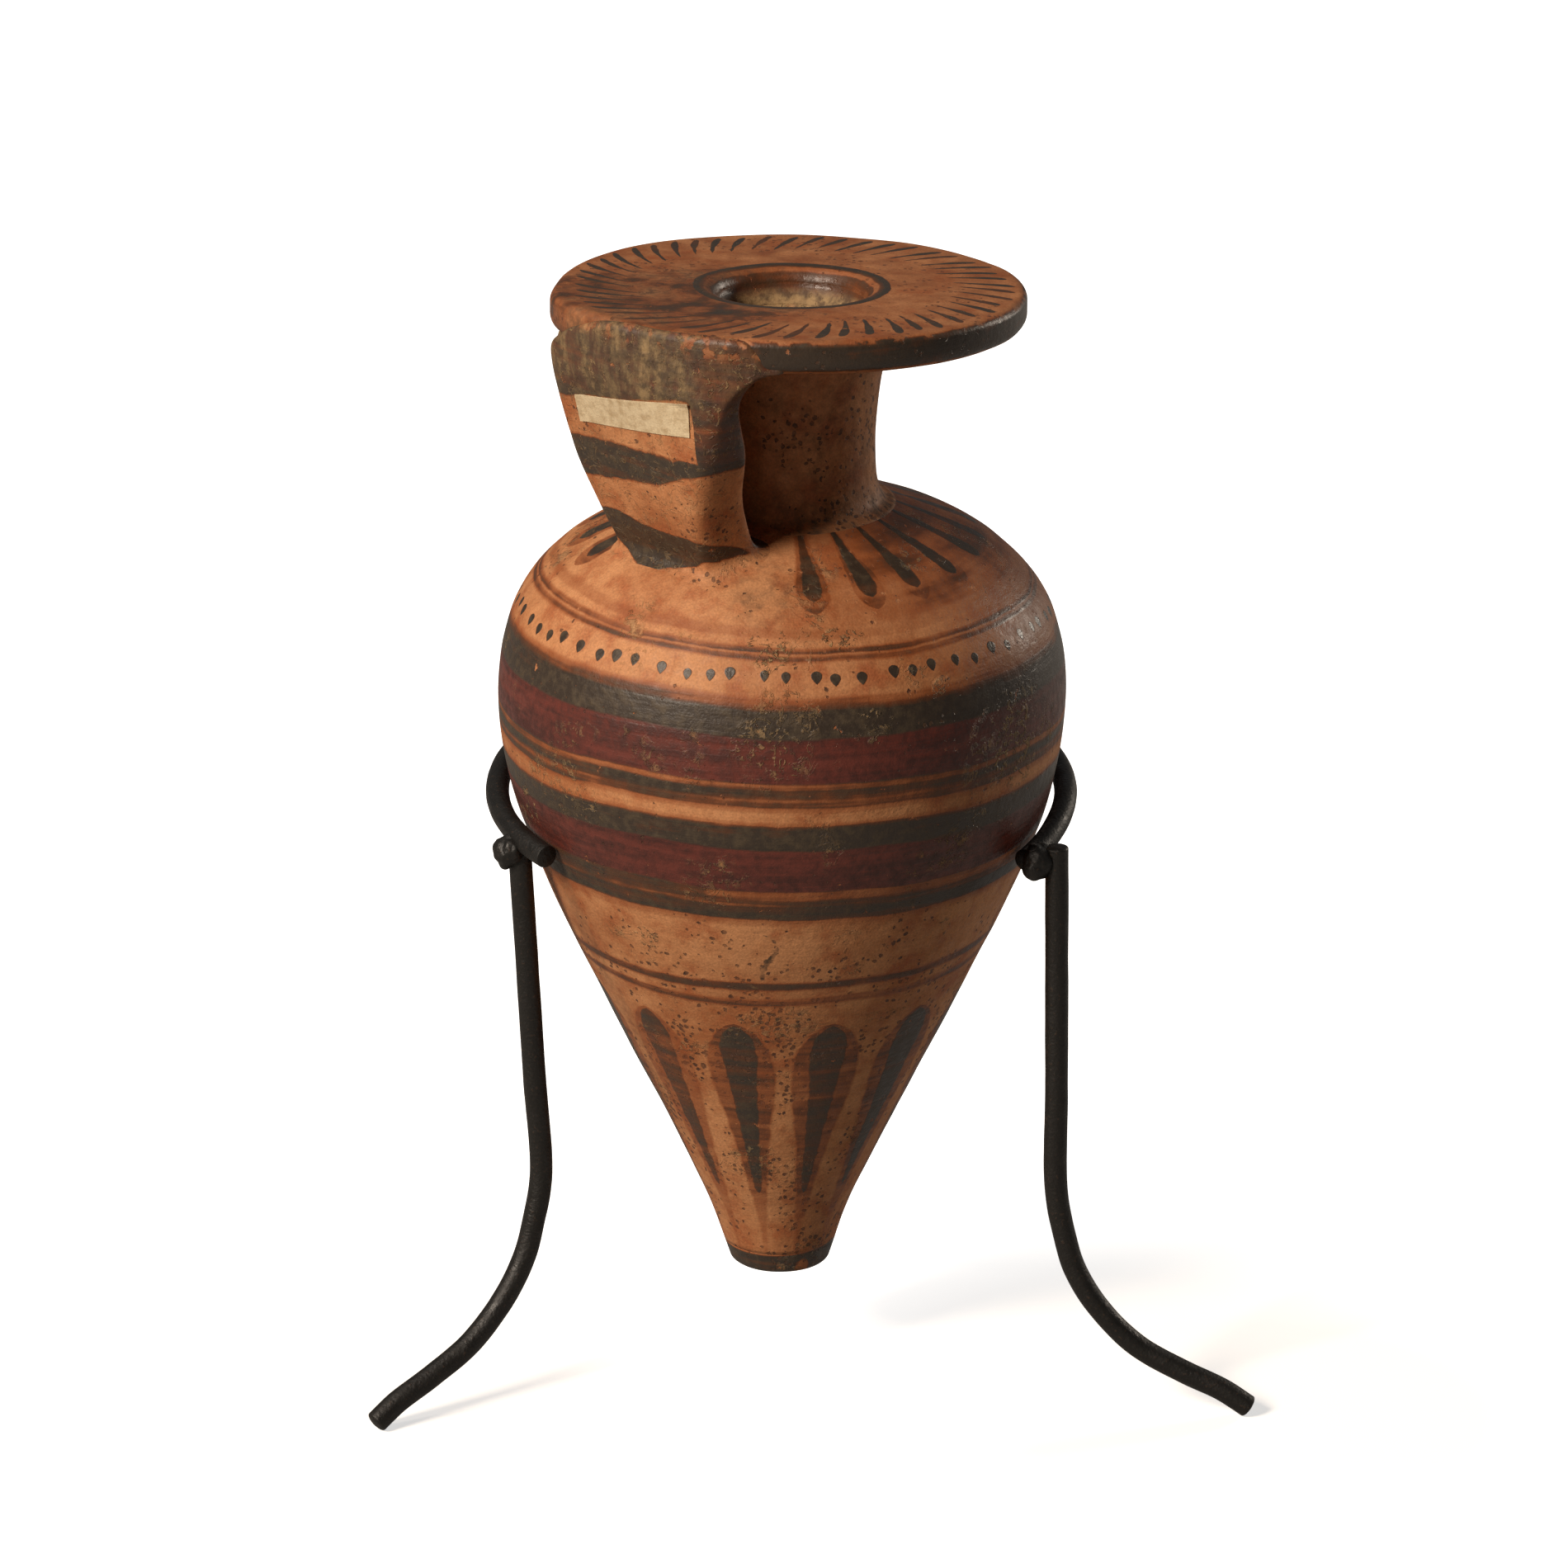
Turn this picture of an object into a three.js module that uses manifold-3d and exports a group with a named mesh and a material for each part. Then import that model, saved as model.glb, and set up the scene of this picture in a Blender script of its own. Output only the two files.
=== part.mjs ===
// Pointed aryballos: a small terracotta oil flask with a flat mouth disc and a broad
// strap handle, standing in an open iron ring on three legs.
// Millimetres, +Z up, the floor at zero. The strap handle points to -Y.
// The origin is the middle of the object's outline on the floor.

import * as THREE from 'three';
import * as BufferGeometryUtils from 'three/addons/utils/BufferGeometryUtils.js';
import Module from 'manifold-3d';

const wasm = await Module();
wasm.setup();

// Vessel body, with heights taken from the vessel's own base
const bodyRadius = 36.5; // at the widest level
const widestHeight = 78; // base to the widest level
const shoulderHeight = 26.7; // widest level to the top of the shoulder
const bodyWall = 4;
const bodyFloor = 7; // solid clay over the foot

// Foot, a turned pad with a short tenon
const footRadius = 7.3; // where it meets the body
const footBaseRadius = 5.4; // flat that it stands on
const footHeight = 3;
const tenonRadius = 3.2;
const tenonHeight = 1.6;

// Neck, thrown apart and let into the shoulder
const neckHeight = 24.6; // from its seat to the disc
const neckRootRadius = 12;
const neckWaistRadius = 11.6;
const neckTopRadius = 13.4;
const neckBoreRadius = 8;
const neckRebate = 1.5; // depth of the seat sunk in the shoulder
const seatRim = 0.8; // clay left outside the seat
const neckCollar = 0.4; // upright edge of the clay roll round the root

// Mouth disc
const discRadius = 29.9;
const discThickness = 4.6;
const mouthRadius = 9.6; // at its narrowest, under the lip
const rimLowerRound = 1.8;
const rimUpperRound = 1.2;
const lipRound = 2.2; // soft lip rolling into the mouth
const discTiltDegrees = 3.3; // the disc is not quite level
const discTiltAzimuthDegrees = 34; // the side that stands higher
const discOffset = 1; // thrown a little off the body's axis
const discOffsetAzimuthDegrees = 134;

// Strap handle
const strapThickness = 6;
const strapTopWidth = 29;
const strapRootWidth = 16.5;
const strapEdgeRound = 2;
const strapSetback = 2; // outer face inside the disc's edge

// Paper label stuck on the strap
const labelLength = 18.9;
const labelWidth = 4.2;
const labelThickness = 0.25;
const labelTurnDegrees = 7;

// Iron stand, with heights taken from the floor
const rodRadius = 1.5;
const footClearance = 14; // the vessel's base above the floor
const ringHeight = 78.7; // ring's centreline at the two sides
const ringTiltDegrees = 5.8; // the open front hangs lower
const ringPlay = 0.7; // between ring and vessel at the sides
const rightEndDroop = 1.6;
const kneeHeight = 30;
const rightLegLap = 2; // how far the right leg runs up past the ring's centreline
const footFlat = 0.5; // depth of the flat worn on each foot
const weldRadius = 2.3;

// Directions round the vessel, from the stand's open front, positive to its right.
// A foot's spread is how far it stands out beyond the body, and a knee's inset how far
// it is drawn in from the top of the leg.
const frontAzimuthDegrees = 44; // the open front, seen from above, turned from -Y
const ringLeftEndDegrees = -56.5;
const ringRightEndDegrees = -299;
const legs = {
  left: { topDegrees: -68, footDegrees: -63.3, footSpread: 22, kneeInset: 3 },
  right: { topDegrees: -295.5, footDegrees: -287.9, footSpread: 27.9, kneeInset: -0.6 },
  back: { topDegrees: -180, footDegrees: -180, footSpread: 23.5, kneeInset: 1.5 },
};

// Clearances
const lutingGap = 0.3; // filled with slip where one clay piece is shaped to another
const tenonGap = 0.3;
const seatGap = 0.3; // ring to vessel where it bears
const weldGap = 0.3;
const labelGap = 0.25;
const cutOverrun = 5;

// Fineness of the facets
const bodyFacets = 48;
const neckFacets = 36;
const rodFacets = 6;
const outlineSteps = 28;
const cavitySteps = 16;
const ringSteps = 48;
const legSteps = 30;
const strapSteps = 18;
const tableSteps = 400;
const arcSteps = 3;

// Lower wall: height share from the foot to the widest level,
// radius share from the foot's radius to the body's
const lowerWallShares = [
  [0, 0],
  [0.048, 0.04],
  [0.088, 0.079],
  [0.142, 0.142],
  [0.224, 0.24],
  [0.383, 0.437],
  [0.517, 0.599],
  [0.673, 0.784],
  [0.758, 0.868],
  [0.829, 0.932],
  [0.92, 0.982],
  [1, 1],
];

// Shoulder: height share from the widest level to the top,
// radius share from the seat's rim to the body's radius
const shoulderShares = [
  [0.18, 0.992],
  [0.33, 0.959],
  [0.459, 0.91],
  [0.57, 0.832],
  [0.663, 0.735],
  [0.737, 0.637],
  [0.822, 0.483],
  [0.896, 0.295],
  [0.955, 0.125],
  [1, 0],
];

// Foot pad: height share, radius share from the standing flat to the body
const footShares = [
  [0, 0],
  [0.1, 0.36],
  [0.3, 0.62],
  [0.8, 0.92],
  [1, 1],
];

// Strap: height share from the shoulder to the disc, reach share from root to top,
// width share from root to top
const strapShares = [
  [-0.14, -0.2, 0],
  [0, 0, 0.02],
  [0.265, 0.53, 0.24],
  [0.53, 0.84, 0.62],
  [0.87, 0.97, 0.96],
  [1.1, 1, 1],
];
const strapRootShare = 0.363; // from the seat's rim to the body's radius
const labelPlaceShare = 0.75; // along the strap from its buried end
const neckWaistShare = 0.42;

// Foot of a leg: height share from the end to the knee, reach share from knee to end
const legBendShares = [
  [1, 0],
  [0.79, 0.045],
  [0.63, 0.1],
  [0.46, 0.215],
  [0.28, 0.415],
  [0.16, 0.66],
  [0.08, 0.86],
  [0, 1],
];
const legStraightShares = [0, 0.35, 0.7];

const radians = THREE.MathUtils.degToRad;
const discSlope = Math.tan(radians(discTiltDegrees));
const discUphill = direction(discTiltAzimuthDegrees);
const discShift = direction(discOffsetAzimuthDegrees).multiplyScalar(discOffset);
const shoulderTop = widestHeight + shoulderHeight;
const neckSeat = shoulderTop - neckRebate;
const neckTop = neckSeat + neckHeight;
const discBottom = neckTop + lutingGap;
const rebateRadius = neckRootRadius + tenonGap;
const seatRimRadius = rebateRadius + seatRim;
const cavityFloor = footHeight + bodyFloor;

function direction(azimuthDegrees) {
  const angle = radians(azimuthDegrees);
  return new THREE.Vector2(Math.sin(angle), -Math.cos(angle));
}

function smooth(value) {
  return THREE.MathUtils.smoothstep(value, 0, 1);
}

// Merges shared vertices and drops the empty triangles at poles
function closed(geometry) {
  const bare = geometry.clone();
  bare.deleteAttribute('normal');
  bare.deleteAttribute('uv');
  const merged = BufferGeometryUtils.mergeVertices(bare);
  const index = merged.getIndex().array;
  const kept = [];
  for (let i = 0; i < index.length; i += 3) {
    const [a, b, c] = [index[i], index[i + 1], index[i + 2]];
    if (a !== b && b !== c && c !== a) {
      kept.push(a, b, c);
    }
  }
  merged.setIndex(kept);
  return merged;
}

function solidOf(geometry) {
  const mesh = closed(geometry);
  return new wasm.Manifold(new wasm.Mesh({
    numProp: 3,
    vertProperties: new Float32Array(mesh.getAttribute('position').array),
    triVerts: new Uint32Array(mesh.getIndex().array),
  }));
}

function geometryOf(solid) {
  const mesh = solid.getMesh();
  const geometry = new THREE.BufferGeometry();
  geometry.setAttribute('position', new THREE.BufferAttribute(mesh.vertProperties, 3));
  geometry.setIndex(new THREE.BufferAttribute(mesh.triVerts, 1));
  return geometry;
}

// Turns an outline of radius and height round the Z axis
function turned(points, facets) {
  const geometry = new THREE.LatheGeometry(points, facets);
  geometry.rotateX(Math.PI / 2);
  return closed(geometry);
}

// Moves every vertex by a rule
function moved(geometry, rule) {
  const position = geometry.getAttribute('position');
  const point = new THREE.Vector3();
  for (let i = 0; i < position.count; i += 1) {
    point.fromBufferAttribute(position, i);
    rule(point);
    position.setXYZ(i, point.x, point.y, point.z);
  }
  return geometry;
}

// Round bar along a curve
function rod(curve, radius, steps) {
  const section = new THREE.Shape();
  section.absarc(0, 0, radius, 0, Math.PI * 2);
  const options = { steps, extrudePath: curve, curveSegments: rodFacets, bevelEnabled: false };
  return closed(new THREE.ExtrudeGeometry(section, options));
}

function piece(name, geometry, material) {
  geometry.computeVertexNormals();
  const mesh = new THREE.Mesh(geometry, material);
  mesh.name = name;
  return mesh;
}

function clay(color, roughness) {
  return new THREE.MeshStandardMaterial({ color, roughness, metalness: 0 });
}

function blackPaint() {
  return new THREE.MeshStandardMaterial({ color: 0x1b1917, roughness: 0.45, metalness: 0.2 });
}

// Outer outline of the body from the foot to the seat's rim
function makeBodyCurve() {
  const lower = lowerWallShares.map(([height, radius]) => new THREE.Vector2(
    footRadius + radius * (bodyRadius - footRadius),
    footHeight + height * (widestHeight - footHeight),
  ));
  const upper = shoulderShares.map(([height, radius]) => new THREE.Vector2(
    seatRimRadius + radius * (bodyRadius - seatRimRadius),
    widestHeight + height * shoulderHeight,
  ));
  return new THREE.SplineCurve([...lower, ...upper]);
}

const bodyCurve = makeBodyCurve();
const bodyTable = bodyCurve.getSpacedPoints(tableSteps);

// Outer radius of the body at a height over the vessel's base
function bodyRadiusAt(height) {
  const next = bodyTable.findIndex((point) => point.y > height);
  if (next < 1) {
    return next === 0 ? footRadius : seatRimRadius;
  }
  const low = bodyTable[next - 1];
  const high = bodyTable[next];
  return THREE.MathUtils.mapLinear(height, low.y, high.y, low.x, high.x);
}

// Height of the shoulder over the vessel's base at a radius
function shoulderHeightAt(radius) {
  return bodyTable.findLast((point) => point.x > radius && point.y > widestHeight / 2).y;
}

// The body's outline pushed out or, with a negative depth, in
function offsetOutline(steps, depth) {
  return Array.from({ length: steps + 1 }, (_, i) => {
    const point = bodyCurve.getPointAt(i / steps);
    const tangent = bodyCurve.getTangentAt(i / steps);
    return new THREE.Vector2(point.x + tangent.y * depth, point.y - tangent.x * depth);
  });
}

// Hollow body with a seat for the neck and a socket for the foot's tenon
function makeBody() {
  const cavity = offsetOutline(cavitySteps * 2, -bodyWall).filter((point) => (
    point.y > cavityFloor && (point.y < widestHeight || point.x > neckBoreRadius)
  ));
  const socketRadius = tenonRadius + tenonGap;
  const socketTop = footHeight + tenonHeight + tenonGap;
  const outline = [
    new THREE.Vector2(0, socketTop),
    new THREE.Vector2(socketRadius, socketTop),
    new THREE.Vector2(socketRadius, footHeight),
    ...bodyCurve.getSpacedPoints(outlineSteps),
    new THREE.Vector2(rebateRadius, shoulderTop),
    new THREE.Vector2(rebateRadius, neckSeat),
    new THREE.Vector2(neckBoreRadius, neckSeat),
    new THREE.Vector2(neckBoreRadius, cavity.at(-1).y),
    ...cavity.filter((_, i) => (cavity.length - 1 - i) % 2 === 0).reverse(),
    new THREE.Vector2(cavity[0].x, cavityFloor),
    new THREE.Vector2(0, cavityFloor),
  ];
  return piece('vessel_body', turned(outline, bodyFacets), clay(0x9a5a34, 0.6));
}

// Everything inside the body's outer skin, grown by a gap, to shape neighbours with
function bodyCutter(gap) {
  const skin = offsetOutline(outlineSteps * 2, gap);
  const outline = [
    new THREE.Vector2(0, skin[0].y),
    ...skin,
    new THREE.Vector2(0, skin.at(-1).y),
  ];
  return solidOf(turned(outline, bodyFacets));
}

function makeFoot() {
  const outline = [
    new THREE.Vector2(0, 0),
    ...footShares.map(([height, radius]) => new THREE.Vector2(
      footBaseRadius + radius * (footRadius - footBaseRadius),
      height * footHeight,
    )),
    new THREE.Vector2(tenonRadius, footHeight),
    new THREE.Vector2(tenonRadius, footHeight + tenonHeight),
    new THREE.Vector2(0, footHeight + tenonHeight),
  ];
  return piece('vessel_foot', turned(outline, neckFacets), clay(0x4b4138, 0.5));
}

// Leans with the disc and moves off the body's axis with it, by a share of the whole
function leanWithDisc(point, share) {
  const uphill = point.x * discUphill.x + point.y * discUphill.y;
  point.z += share * discSlope * uphill;
  point.x += share * discShift.x;
  point.y += share * discShift.y;
}

// Neck with a tenon in the shoulder's seat, a clay roll over the joint and a leaning top
function makeNeck() {
  const collarRadius = seatRimRadius + lutingGap;
  const collarBottom = neckRebate + lutingGap;
  const waist = neckHeight * neckWaistShare;
  const outline = new THREE.Path();
  outline.moveTo(neckBoreRadius, 0);
  outline.lineTo(neckRootRadius, 0);
  outline.lineTo(neckRootRadius, collarBottom);
  outline.lineTo(collarRadius, collarBottom);
  outline.lineTo(collarRadius, collarBottom + neckCollar);
  outline.quadraticCurveTo(neckWaistRadius, collarBottom + neckCollar, neckWaistRadius, waist);
  outline.quadraticCurveTo(neckWaistRadius, (waist + neckHeight) / 2, neckTopRadius, neckHeight);
  outline.lineTo(neckBoreRadius, neckHeight);
  outline.closePath();
  const geometry = turned(outline.getPoints(arcSteps * 2), neckFacets);
  const leaning = moved(geometry, (point) => {
    leanWithDisc(point, (point.z / neckHeight) ** 2);
  });
  const mesh = piece('vessel_neck', leaning, clay(0x8a4f2c, 0.65));
  mesh.position.z = neckSeat;
  return mesh;
}

// Flat disc round the mouth, leaning with the top of the neck
function makeMouthDisc() {
  const lowerRound = Math.min(rimLowerRound, discThickness / 2);
  const upperRound = Math.min(rimUpperRound, discThickness / 2);
  const lip = Math.min(lipRound, discThickness / 2);
  const outline = new THREE.Path();
  outline.moveTo(neckBoreRadius, 0);
  outline.lineTo(discRadius - lowerRound, 0);
  outline.absarc(discRadius - lowerRound, lowerRound, lowerRound, -Math.PI / 2, 0);
  outline.absarc(discRadius - upperRound, discThickness - upperRound, upperRound, 0, Math.PI / 2);
  outline.lineTo(mouthRadius + lip, discThickness);
  outline.absarc(mouthRadius + lip, discThickness - lip, lip, Math.PI / 2, Math.PI);
  outline.closePath();
  const geometry = turned(outline.getPoints(arcSteps), bodyFacets);
  const leaning = moved(geometry, (point) => leanWithDisc(point, 1));
  const mesh = piece('mouth_disc', leaning, clay(0x7c4a2c, 0.5));
  mesh.position.z = discBottom;
  return mesh;
}

// Outer face of the strap as reach and height, and its width along the way
const strapRootReach = seatRimRadius + strapRootShare * (bodyRadius - seatRimRadius);
const strapTopReach = discRadius - strapSetback;
const strapRootHeight = shoulderHeightAt(strapRootReach);
const strapCurve = new THREE.SplineCurve(strapShares.map(([height, reach]) => new THREE.Vector2(
  THREE.MathUtils.lerp(strapRootReach, strapTopReach, reach),
  THREE.MathUtils.lerp(strapRootHeight, discBottom, height),
)));
const strapWidths = new THREE.SplineCurve(strapShares.map(([height, , width]) => new THREE.Vector2(
  THREE.MathUtils.lerp(strapRootWidth, strapTopWidth, width),
  height,
)));

// Strap section across its width, with its outer face at zero
function strapSection() {
  const half = strapTopWidth / 2;
  const round = Math.min(strapEdgeRound, strapThickness / 2);
  const inner = -strapThickness;
  const section = new THREE.Shape();
  section.moveTo(half - round, inner);
  section.absarc(half - round, inner + round, round, -Math.PI / 2, 0);
  section.absarc(half - round, -round, round, 0, Math.PI / 2);
  section.absarc(round - half, -round, round, Math.PI / 2, Math.PI);
  section.absarc(round - half, inner + round, round, Math.PI, Math.PI * 1.5);
  return section;
}

// Everything over the disc's underside, less the gap for slip
function discCutter() {
  const size = (discRadius + cutOverrun) * 2;
  const block = new THREE.BoxGeometry(size, size, size);
  block.translate(0, 0, size / 2 + discBottom - lutingGap);
  return solidOf(moved(closed(block), (point) => leanWithDisc(point, 1)));
}

// Strap drawn along its curve, then shaped to the shoulder and to the disc
function makeStrapHandle() {
  const options = { depth: 1, steps: strapSteps, curveSegments: arcSteps, bevelEnabled: false };
  const straight = closed(new THREE.ExtrudeGeometry(strapSection(), options));
  const bent = moved(straight, (point) => {
    const share = THREE.MathUtils.clamp(point.z, 0, 1);
    const face = strapCurve.getPoint(share);
    const along = strapCurve.getTangent(share);
    const width = strapWidths.getPoint(share).x;
    point.set(
      -point.x * width / strapTopWidth,
      -face.x - along.y * point.y,
      face.y - along.x * point.y,
    );
  });
  const shaped = solidOf(bent).subtract(bodyCutter(lutingGap)).subtract(discCutter());
  return piece('strap_handle', geometryOf(shaped), clay(0xa66238, 0.6));
}

function makePaperLabel() {
  const face = strapCurve.getPointAt(labelPlaceShare);
  const along = strapCurve.getTangentAt(labelPlaceShare);
  const lift = labelGap + labelThickness / 2;
  const geometry = new THREE.BoxGeometry(labelLength, labelThickness, labelWidth);
  const material = new THREE.MeshStandardMaterial({ color: 0xd6c49a, roughness: 0.9 });
  const mesh = piece('paper_label', geometry, material);
  mesh.rotation.set(Math.atan2(along.x, along.y), -radians(labelTurnDegrees), 0);
  mesh.position.set(0, -face.x - along.y * lift, face.y - along.x * lift);
  return mesh;
}

// Height of the body's wall beside the ring, and how steeply it leans out
function wallSlopeAt(height) {
  const above = bodyRadiusAt(height + rodRadius);
  const below = bodyRadiusAt(height - rodRadius);
  return (above - below) / (rodRadius * 2);
}

// Centreline of the ring: it follows the vessel, bears at the back and at both ends,
// and stands a little off at the sides
function ringPoint(degrees) {
  const side = Math.abs(THREE.MathUtils.euclideanModulo(degrees + 180, 360) - 180);
  const isRight = degrees < -180;
  const endSide = isRight ? 360 + ringRightEndDegrees : -ringLeftEndDegrees;
  const towardEnd = THREE.MathUtils.clamp((90 - side) / (90 - endSide), 0, 1);
  const openness = side < 90 ? 1 - towardEnd ** 2 : Math.sin(radians(side)) ** 2;
  const nominalRadius = bodyRadiusAt(ringHeight - footClearance) + rodRadius + ringPlay;
  const slope = Math.tan(radians(ringTiltDegrees));
  const droop = isRight ? rightEndDroop * smooth(towardEnd) : 0;
  const height = ringHeight - slope * nominalRadius * Math.cos(radians(side)) - droop;
  const wallHeight = height - footClearance;
  const offWall = rodRadius + seatGap + (ringPlay - seatGap) * openness;
  const reach = bodyRadiusAt(wallHeight) + offWall * Math.hypot(1, wallSlopeAt(wallHeight));
  const away = direction(frontAzimuthDegrees + degrees).multiplyScalar(reach);
  return new THREE.Vector3(away.x, away.y, height);
}

class RingCurve extends THREE.Curve {
  getPoint(share) {
    return ringPoint(THREE.MathUtils.lerp(ringLeftEndDegrees, ringRightEndDegrees, share));
  }
}

function makeRing() {
  return piece('stand_ring', rod(new RingCurve(), rodRadius, ringSteps), blackPaint());
}

// Top of a leg: the outer two butt under the ring, the right one runs up outside it
function legTop(leg) {
  const onRing = ringPoint(leg.topDegrees);
  if (leg !== legs.right) {
    onRing.z -= rodRadius + weldGap;
    return onRing;
  }
  const out = direction(frontAzimuthDegrees + leg.topDegrees);
  out.multiplyScalar(rodRadius * 2 + weldGap * 2);
  onRing.add(new THREE.Vector3(out.x, out.y, rightLegLap));
  return onRing;
}

// Centreline of a leg: straight to the knee, then swept out to the floor
function legCurve(leg) {
  const top = legTop(leg);
  const foot = direction(frontAzimuthDegrees + leg.footDegrees);
  foot.multiplyScalar(bodyRadius + leg.footSpread);
  const outward = new THREE.Vector2(foot.x - top.x, foot.y - top.y);
  const reach = outward.length();
  outward.normalize();
  const endHeight = rodRadius - footFlat;
  const place = (away, height) => new THREE.Vector3(
    top.x + outward.x * away,
    top.y + outward.y * away,
    height,
  );
  const straight = legStraightShares.map((share) => place(
    -leg.kneeInset * share,
    THREE.MathUtils.lerp(top.z, kneeHeight, share),
  ));
  const bend = legBendShares.map(([height, away]) => place(
    THREE.MathUtils.lerp(-leg.kneeInset, reach, away),
    THREE.MathUtils.lerp(endHeight, kneeHeight, height),
  ));
  return new THREE.CatmullRomCurve3([...straight, ...bend], false, 'centripetal');
}

function floorCutter() {
  const widest = Math.max(...Object.values(legs).map((leg) => leg.footSpread));
  const size = (bodyRadius + widest + cutOverrun) * 2;
  const block = new THREE.BoxGeometry(size, size, size);
  block.translate(0, 0, -size / 2);
  return solidOf(block);
}

// Leg of bent rod, flat where it stands on the floor
function makeLeg(name, leg) {
  const bar = solidOf(rod(legCurve(leg), rodRadius, legSteps));
  return piece(name, geometryOf(bar.subtract(floorCutter())), blackPaint());
}

// Bead of weld in the corner of ring and leg, hollowed to clear both
function makeWeld(name, leg) {
  const onRing = ringPoint(leg.topDegrees);
  const top = legTop(leg);
  const out = direction(frontAzimuthDegrees + leg.topDegrees);
  const centre = new THREE.Vector3();
  if (leg === legs.right) {
    const along = ringPoint(leg.topDegrees + 1).sub(onRing).normalize();
    centre.addVectors(onRing, top).divideScalar(2).addScaledVector(along, -rodRadius);
    centre.z = onRing.z;
  } else {
    centre.set(top.x + out.x * rodRadius, top.y + out.y * rodRadius, top.z);
  }
  const ball = new THREE.SphereGeometry(weldRadius, rodFacets * 3, rodFacets * 2);
  ball.rotateX(Math.PI / 2);
  ball.translate(centre.x, centre.y, centre.z);
  const bead = solidOf(ball)
    .subtract(solidOf(rod(new RingCurve(), rodRadius + weldGap, ringSteps)))
    .subtract(solidOf(rod(legCurve(leg), rodRadius + weldGap, legSteps)));
  return piece(name, geometryOf(bead), blackPaint());
}

const vessel = new THREE.Group();
vessel.add(makeBody());
vessel.add(makeFoot());
vessel.add(makeNeck());
vessel.add(makeMouthDisc());
vessel.add(makeStrapHandle());
vessel.add(makePaperLabel());
vessel.position.z = footClearance;

const stand = new THREE.Group();
stand.add(makeRing());
stand.add(makeLeg('front_left_leg', legs.left));
stand.add(makeLeg('front_right_leg', legs.right));
stand.add(makeLeg('back_leg', legs.back));
stand.add(makeWeld('front_left_weld', legs.left));
stand.add(makeWeld('front_right_weld', legs.right));
stand.add(makeWeld('back_weld', legs.back));

const object = new THREE.Group();
object.add(vessel);
object.add(stand);
object.updateMatrixWorld(true);
const middle = new THREE.Box3().setFromObject(object, true).getCenter(new THREE.Vector3());
object.position.set(-middle.x, -middle.y, 0);

const aryballos = new THREE.Group();
aryballos.add(object);

export default aryballos;
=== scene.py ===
import math
from collections import namedtuple
from functools import partial

import bpy
from bpy.props import FloatProperty, FloatVectorProperty, IntProperty, PointerProperty
from mathutils import Matrix, Vector
from mathutils.bvhtree import BVHTree


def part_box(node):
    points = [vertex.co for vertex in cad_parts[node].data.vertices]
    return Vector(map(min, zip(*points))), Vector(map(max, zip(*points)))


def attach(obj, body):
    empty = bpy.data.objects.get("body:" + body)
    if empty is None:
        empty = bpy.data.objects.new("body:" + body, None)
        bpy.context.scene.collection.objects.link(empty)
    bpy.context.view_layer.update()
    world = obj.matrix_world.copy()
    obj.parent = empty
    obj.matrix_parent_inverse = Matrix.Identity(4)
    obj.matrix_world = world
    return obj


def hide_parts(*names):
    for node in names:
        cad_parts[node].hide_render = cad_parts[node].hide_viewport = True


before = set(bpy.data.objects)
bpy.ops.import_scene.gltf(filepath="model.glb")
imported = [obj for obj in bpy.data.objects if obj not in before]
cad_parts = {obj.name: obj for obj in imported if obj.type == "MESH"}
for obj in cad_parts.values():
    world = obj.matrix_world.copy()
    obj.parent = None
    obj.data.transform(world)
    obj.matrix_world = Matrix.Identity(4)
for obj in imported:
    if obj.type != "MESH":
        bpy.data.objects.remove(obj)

bl_info = {
    "name": "Aryballos on an iron stand",
    "version": (1, 0, 0),
    "blender": (4, 5, 0),
    "location": "3D View > Sidebar > Aryballos",
    "description": "Slip-painted oil flask and its black rod stand, dressed round the packed CAD frame",
    "category": "Add Mesh",
}

MM = 0.001
RANGE, NOISE, MIX = "ShaderNodeMapRange", "ShaderNodeTexNoise", "ShaderNodeMix"
JOIN_XYZ, SPLIT_XYZ = "ShaderNodeCombineXYZ", "ShaderNodeSeparateXYZ"

# Vessel, with heights from its own base, as the CAD source has them
FOOT_HEIGHT = 3 * MM
FOOT_RADIUS = 7.3 * MM
FOOT_BASE_RADIUS = 5.4 * MM
WIDEST_HEIGHT = 78 * MM
SHOULDER_HEIGHT = 26.7 * MM
BODY_WALL = 4 * MM
CAVITY_FLOOR = 10 * MM
SEAT_RIM_RADIUS = 13.1 * MM
SEAT_RADIUS = 12.3 * MM
SHOULDER_TOP = WIDEST_HEIGHT + SHOULDER_HEIGHT
NECK_SEAT = SHOULDER_TOP - 1.5 * MM
NECK_HEIGHT = 24.6 * MM
NECK_TOP = NECK_SEAT + NECK_HEIGHT
BORE_RADIUS = 8 * MM
DISC_BOTTOM = NECK_TOP + 0.3 * MM
DISC_THICKNESS = 4.6 * MM
DISC_TOP = DISC_BOTTOM + DISC_THICKNESS
DISC_SLOPE = math.tan(math.radians(3.3))
DISC_UPHILL_AZIMUTH = 34
DISC_OFFSET = 1 * MM
DISC_OFFSET_AZIMUTH = 134
STRAP_THICKNESS = 6 * MM
STRAP_TOP_WIDTH = 29 * MM
STRAP_ROOT_WIDTH = 16.5 * MM
STRAP_SETBACK = 2 * MM
STRAP_ROOT_SHARE = 0.363
STRAP_ROUND_EDGE = 2 * MM

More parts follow.
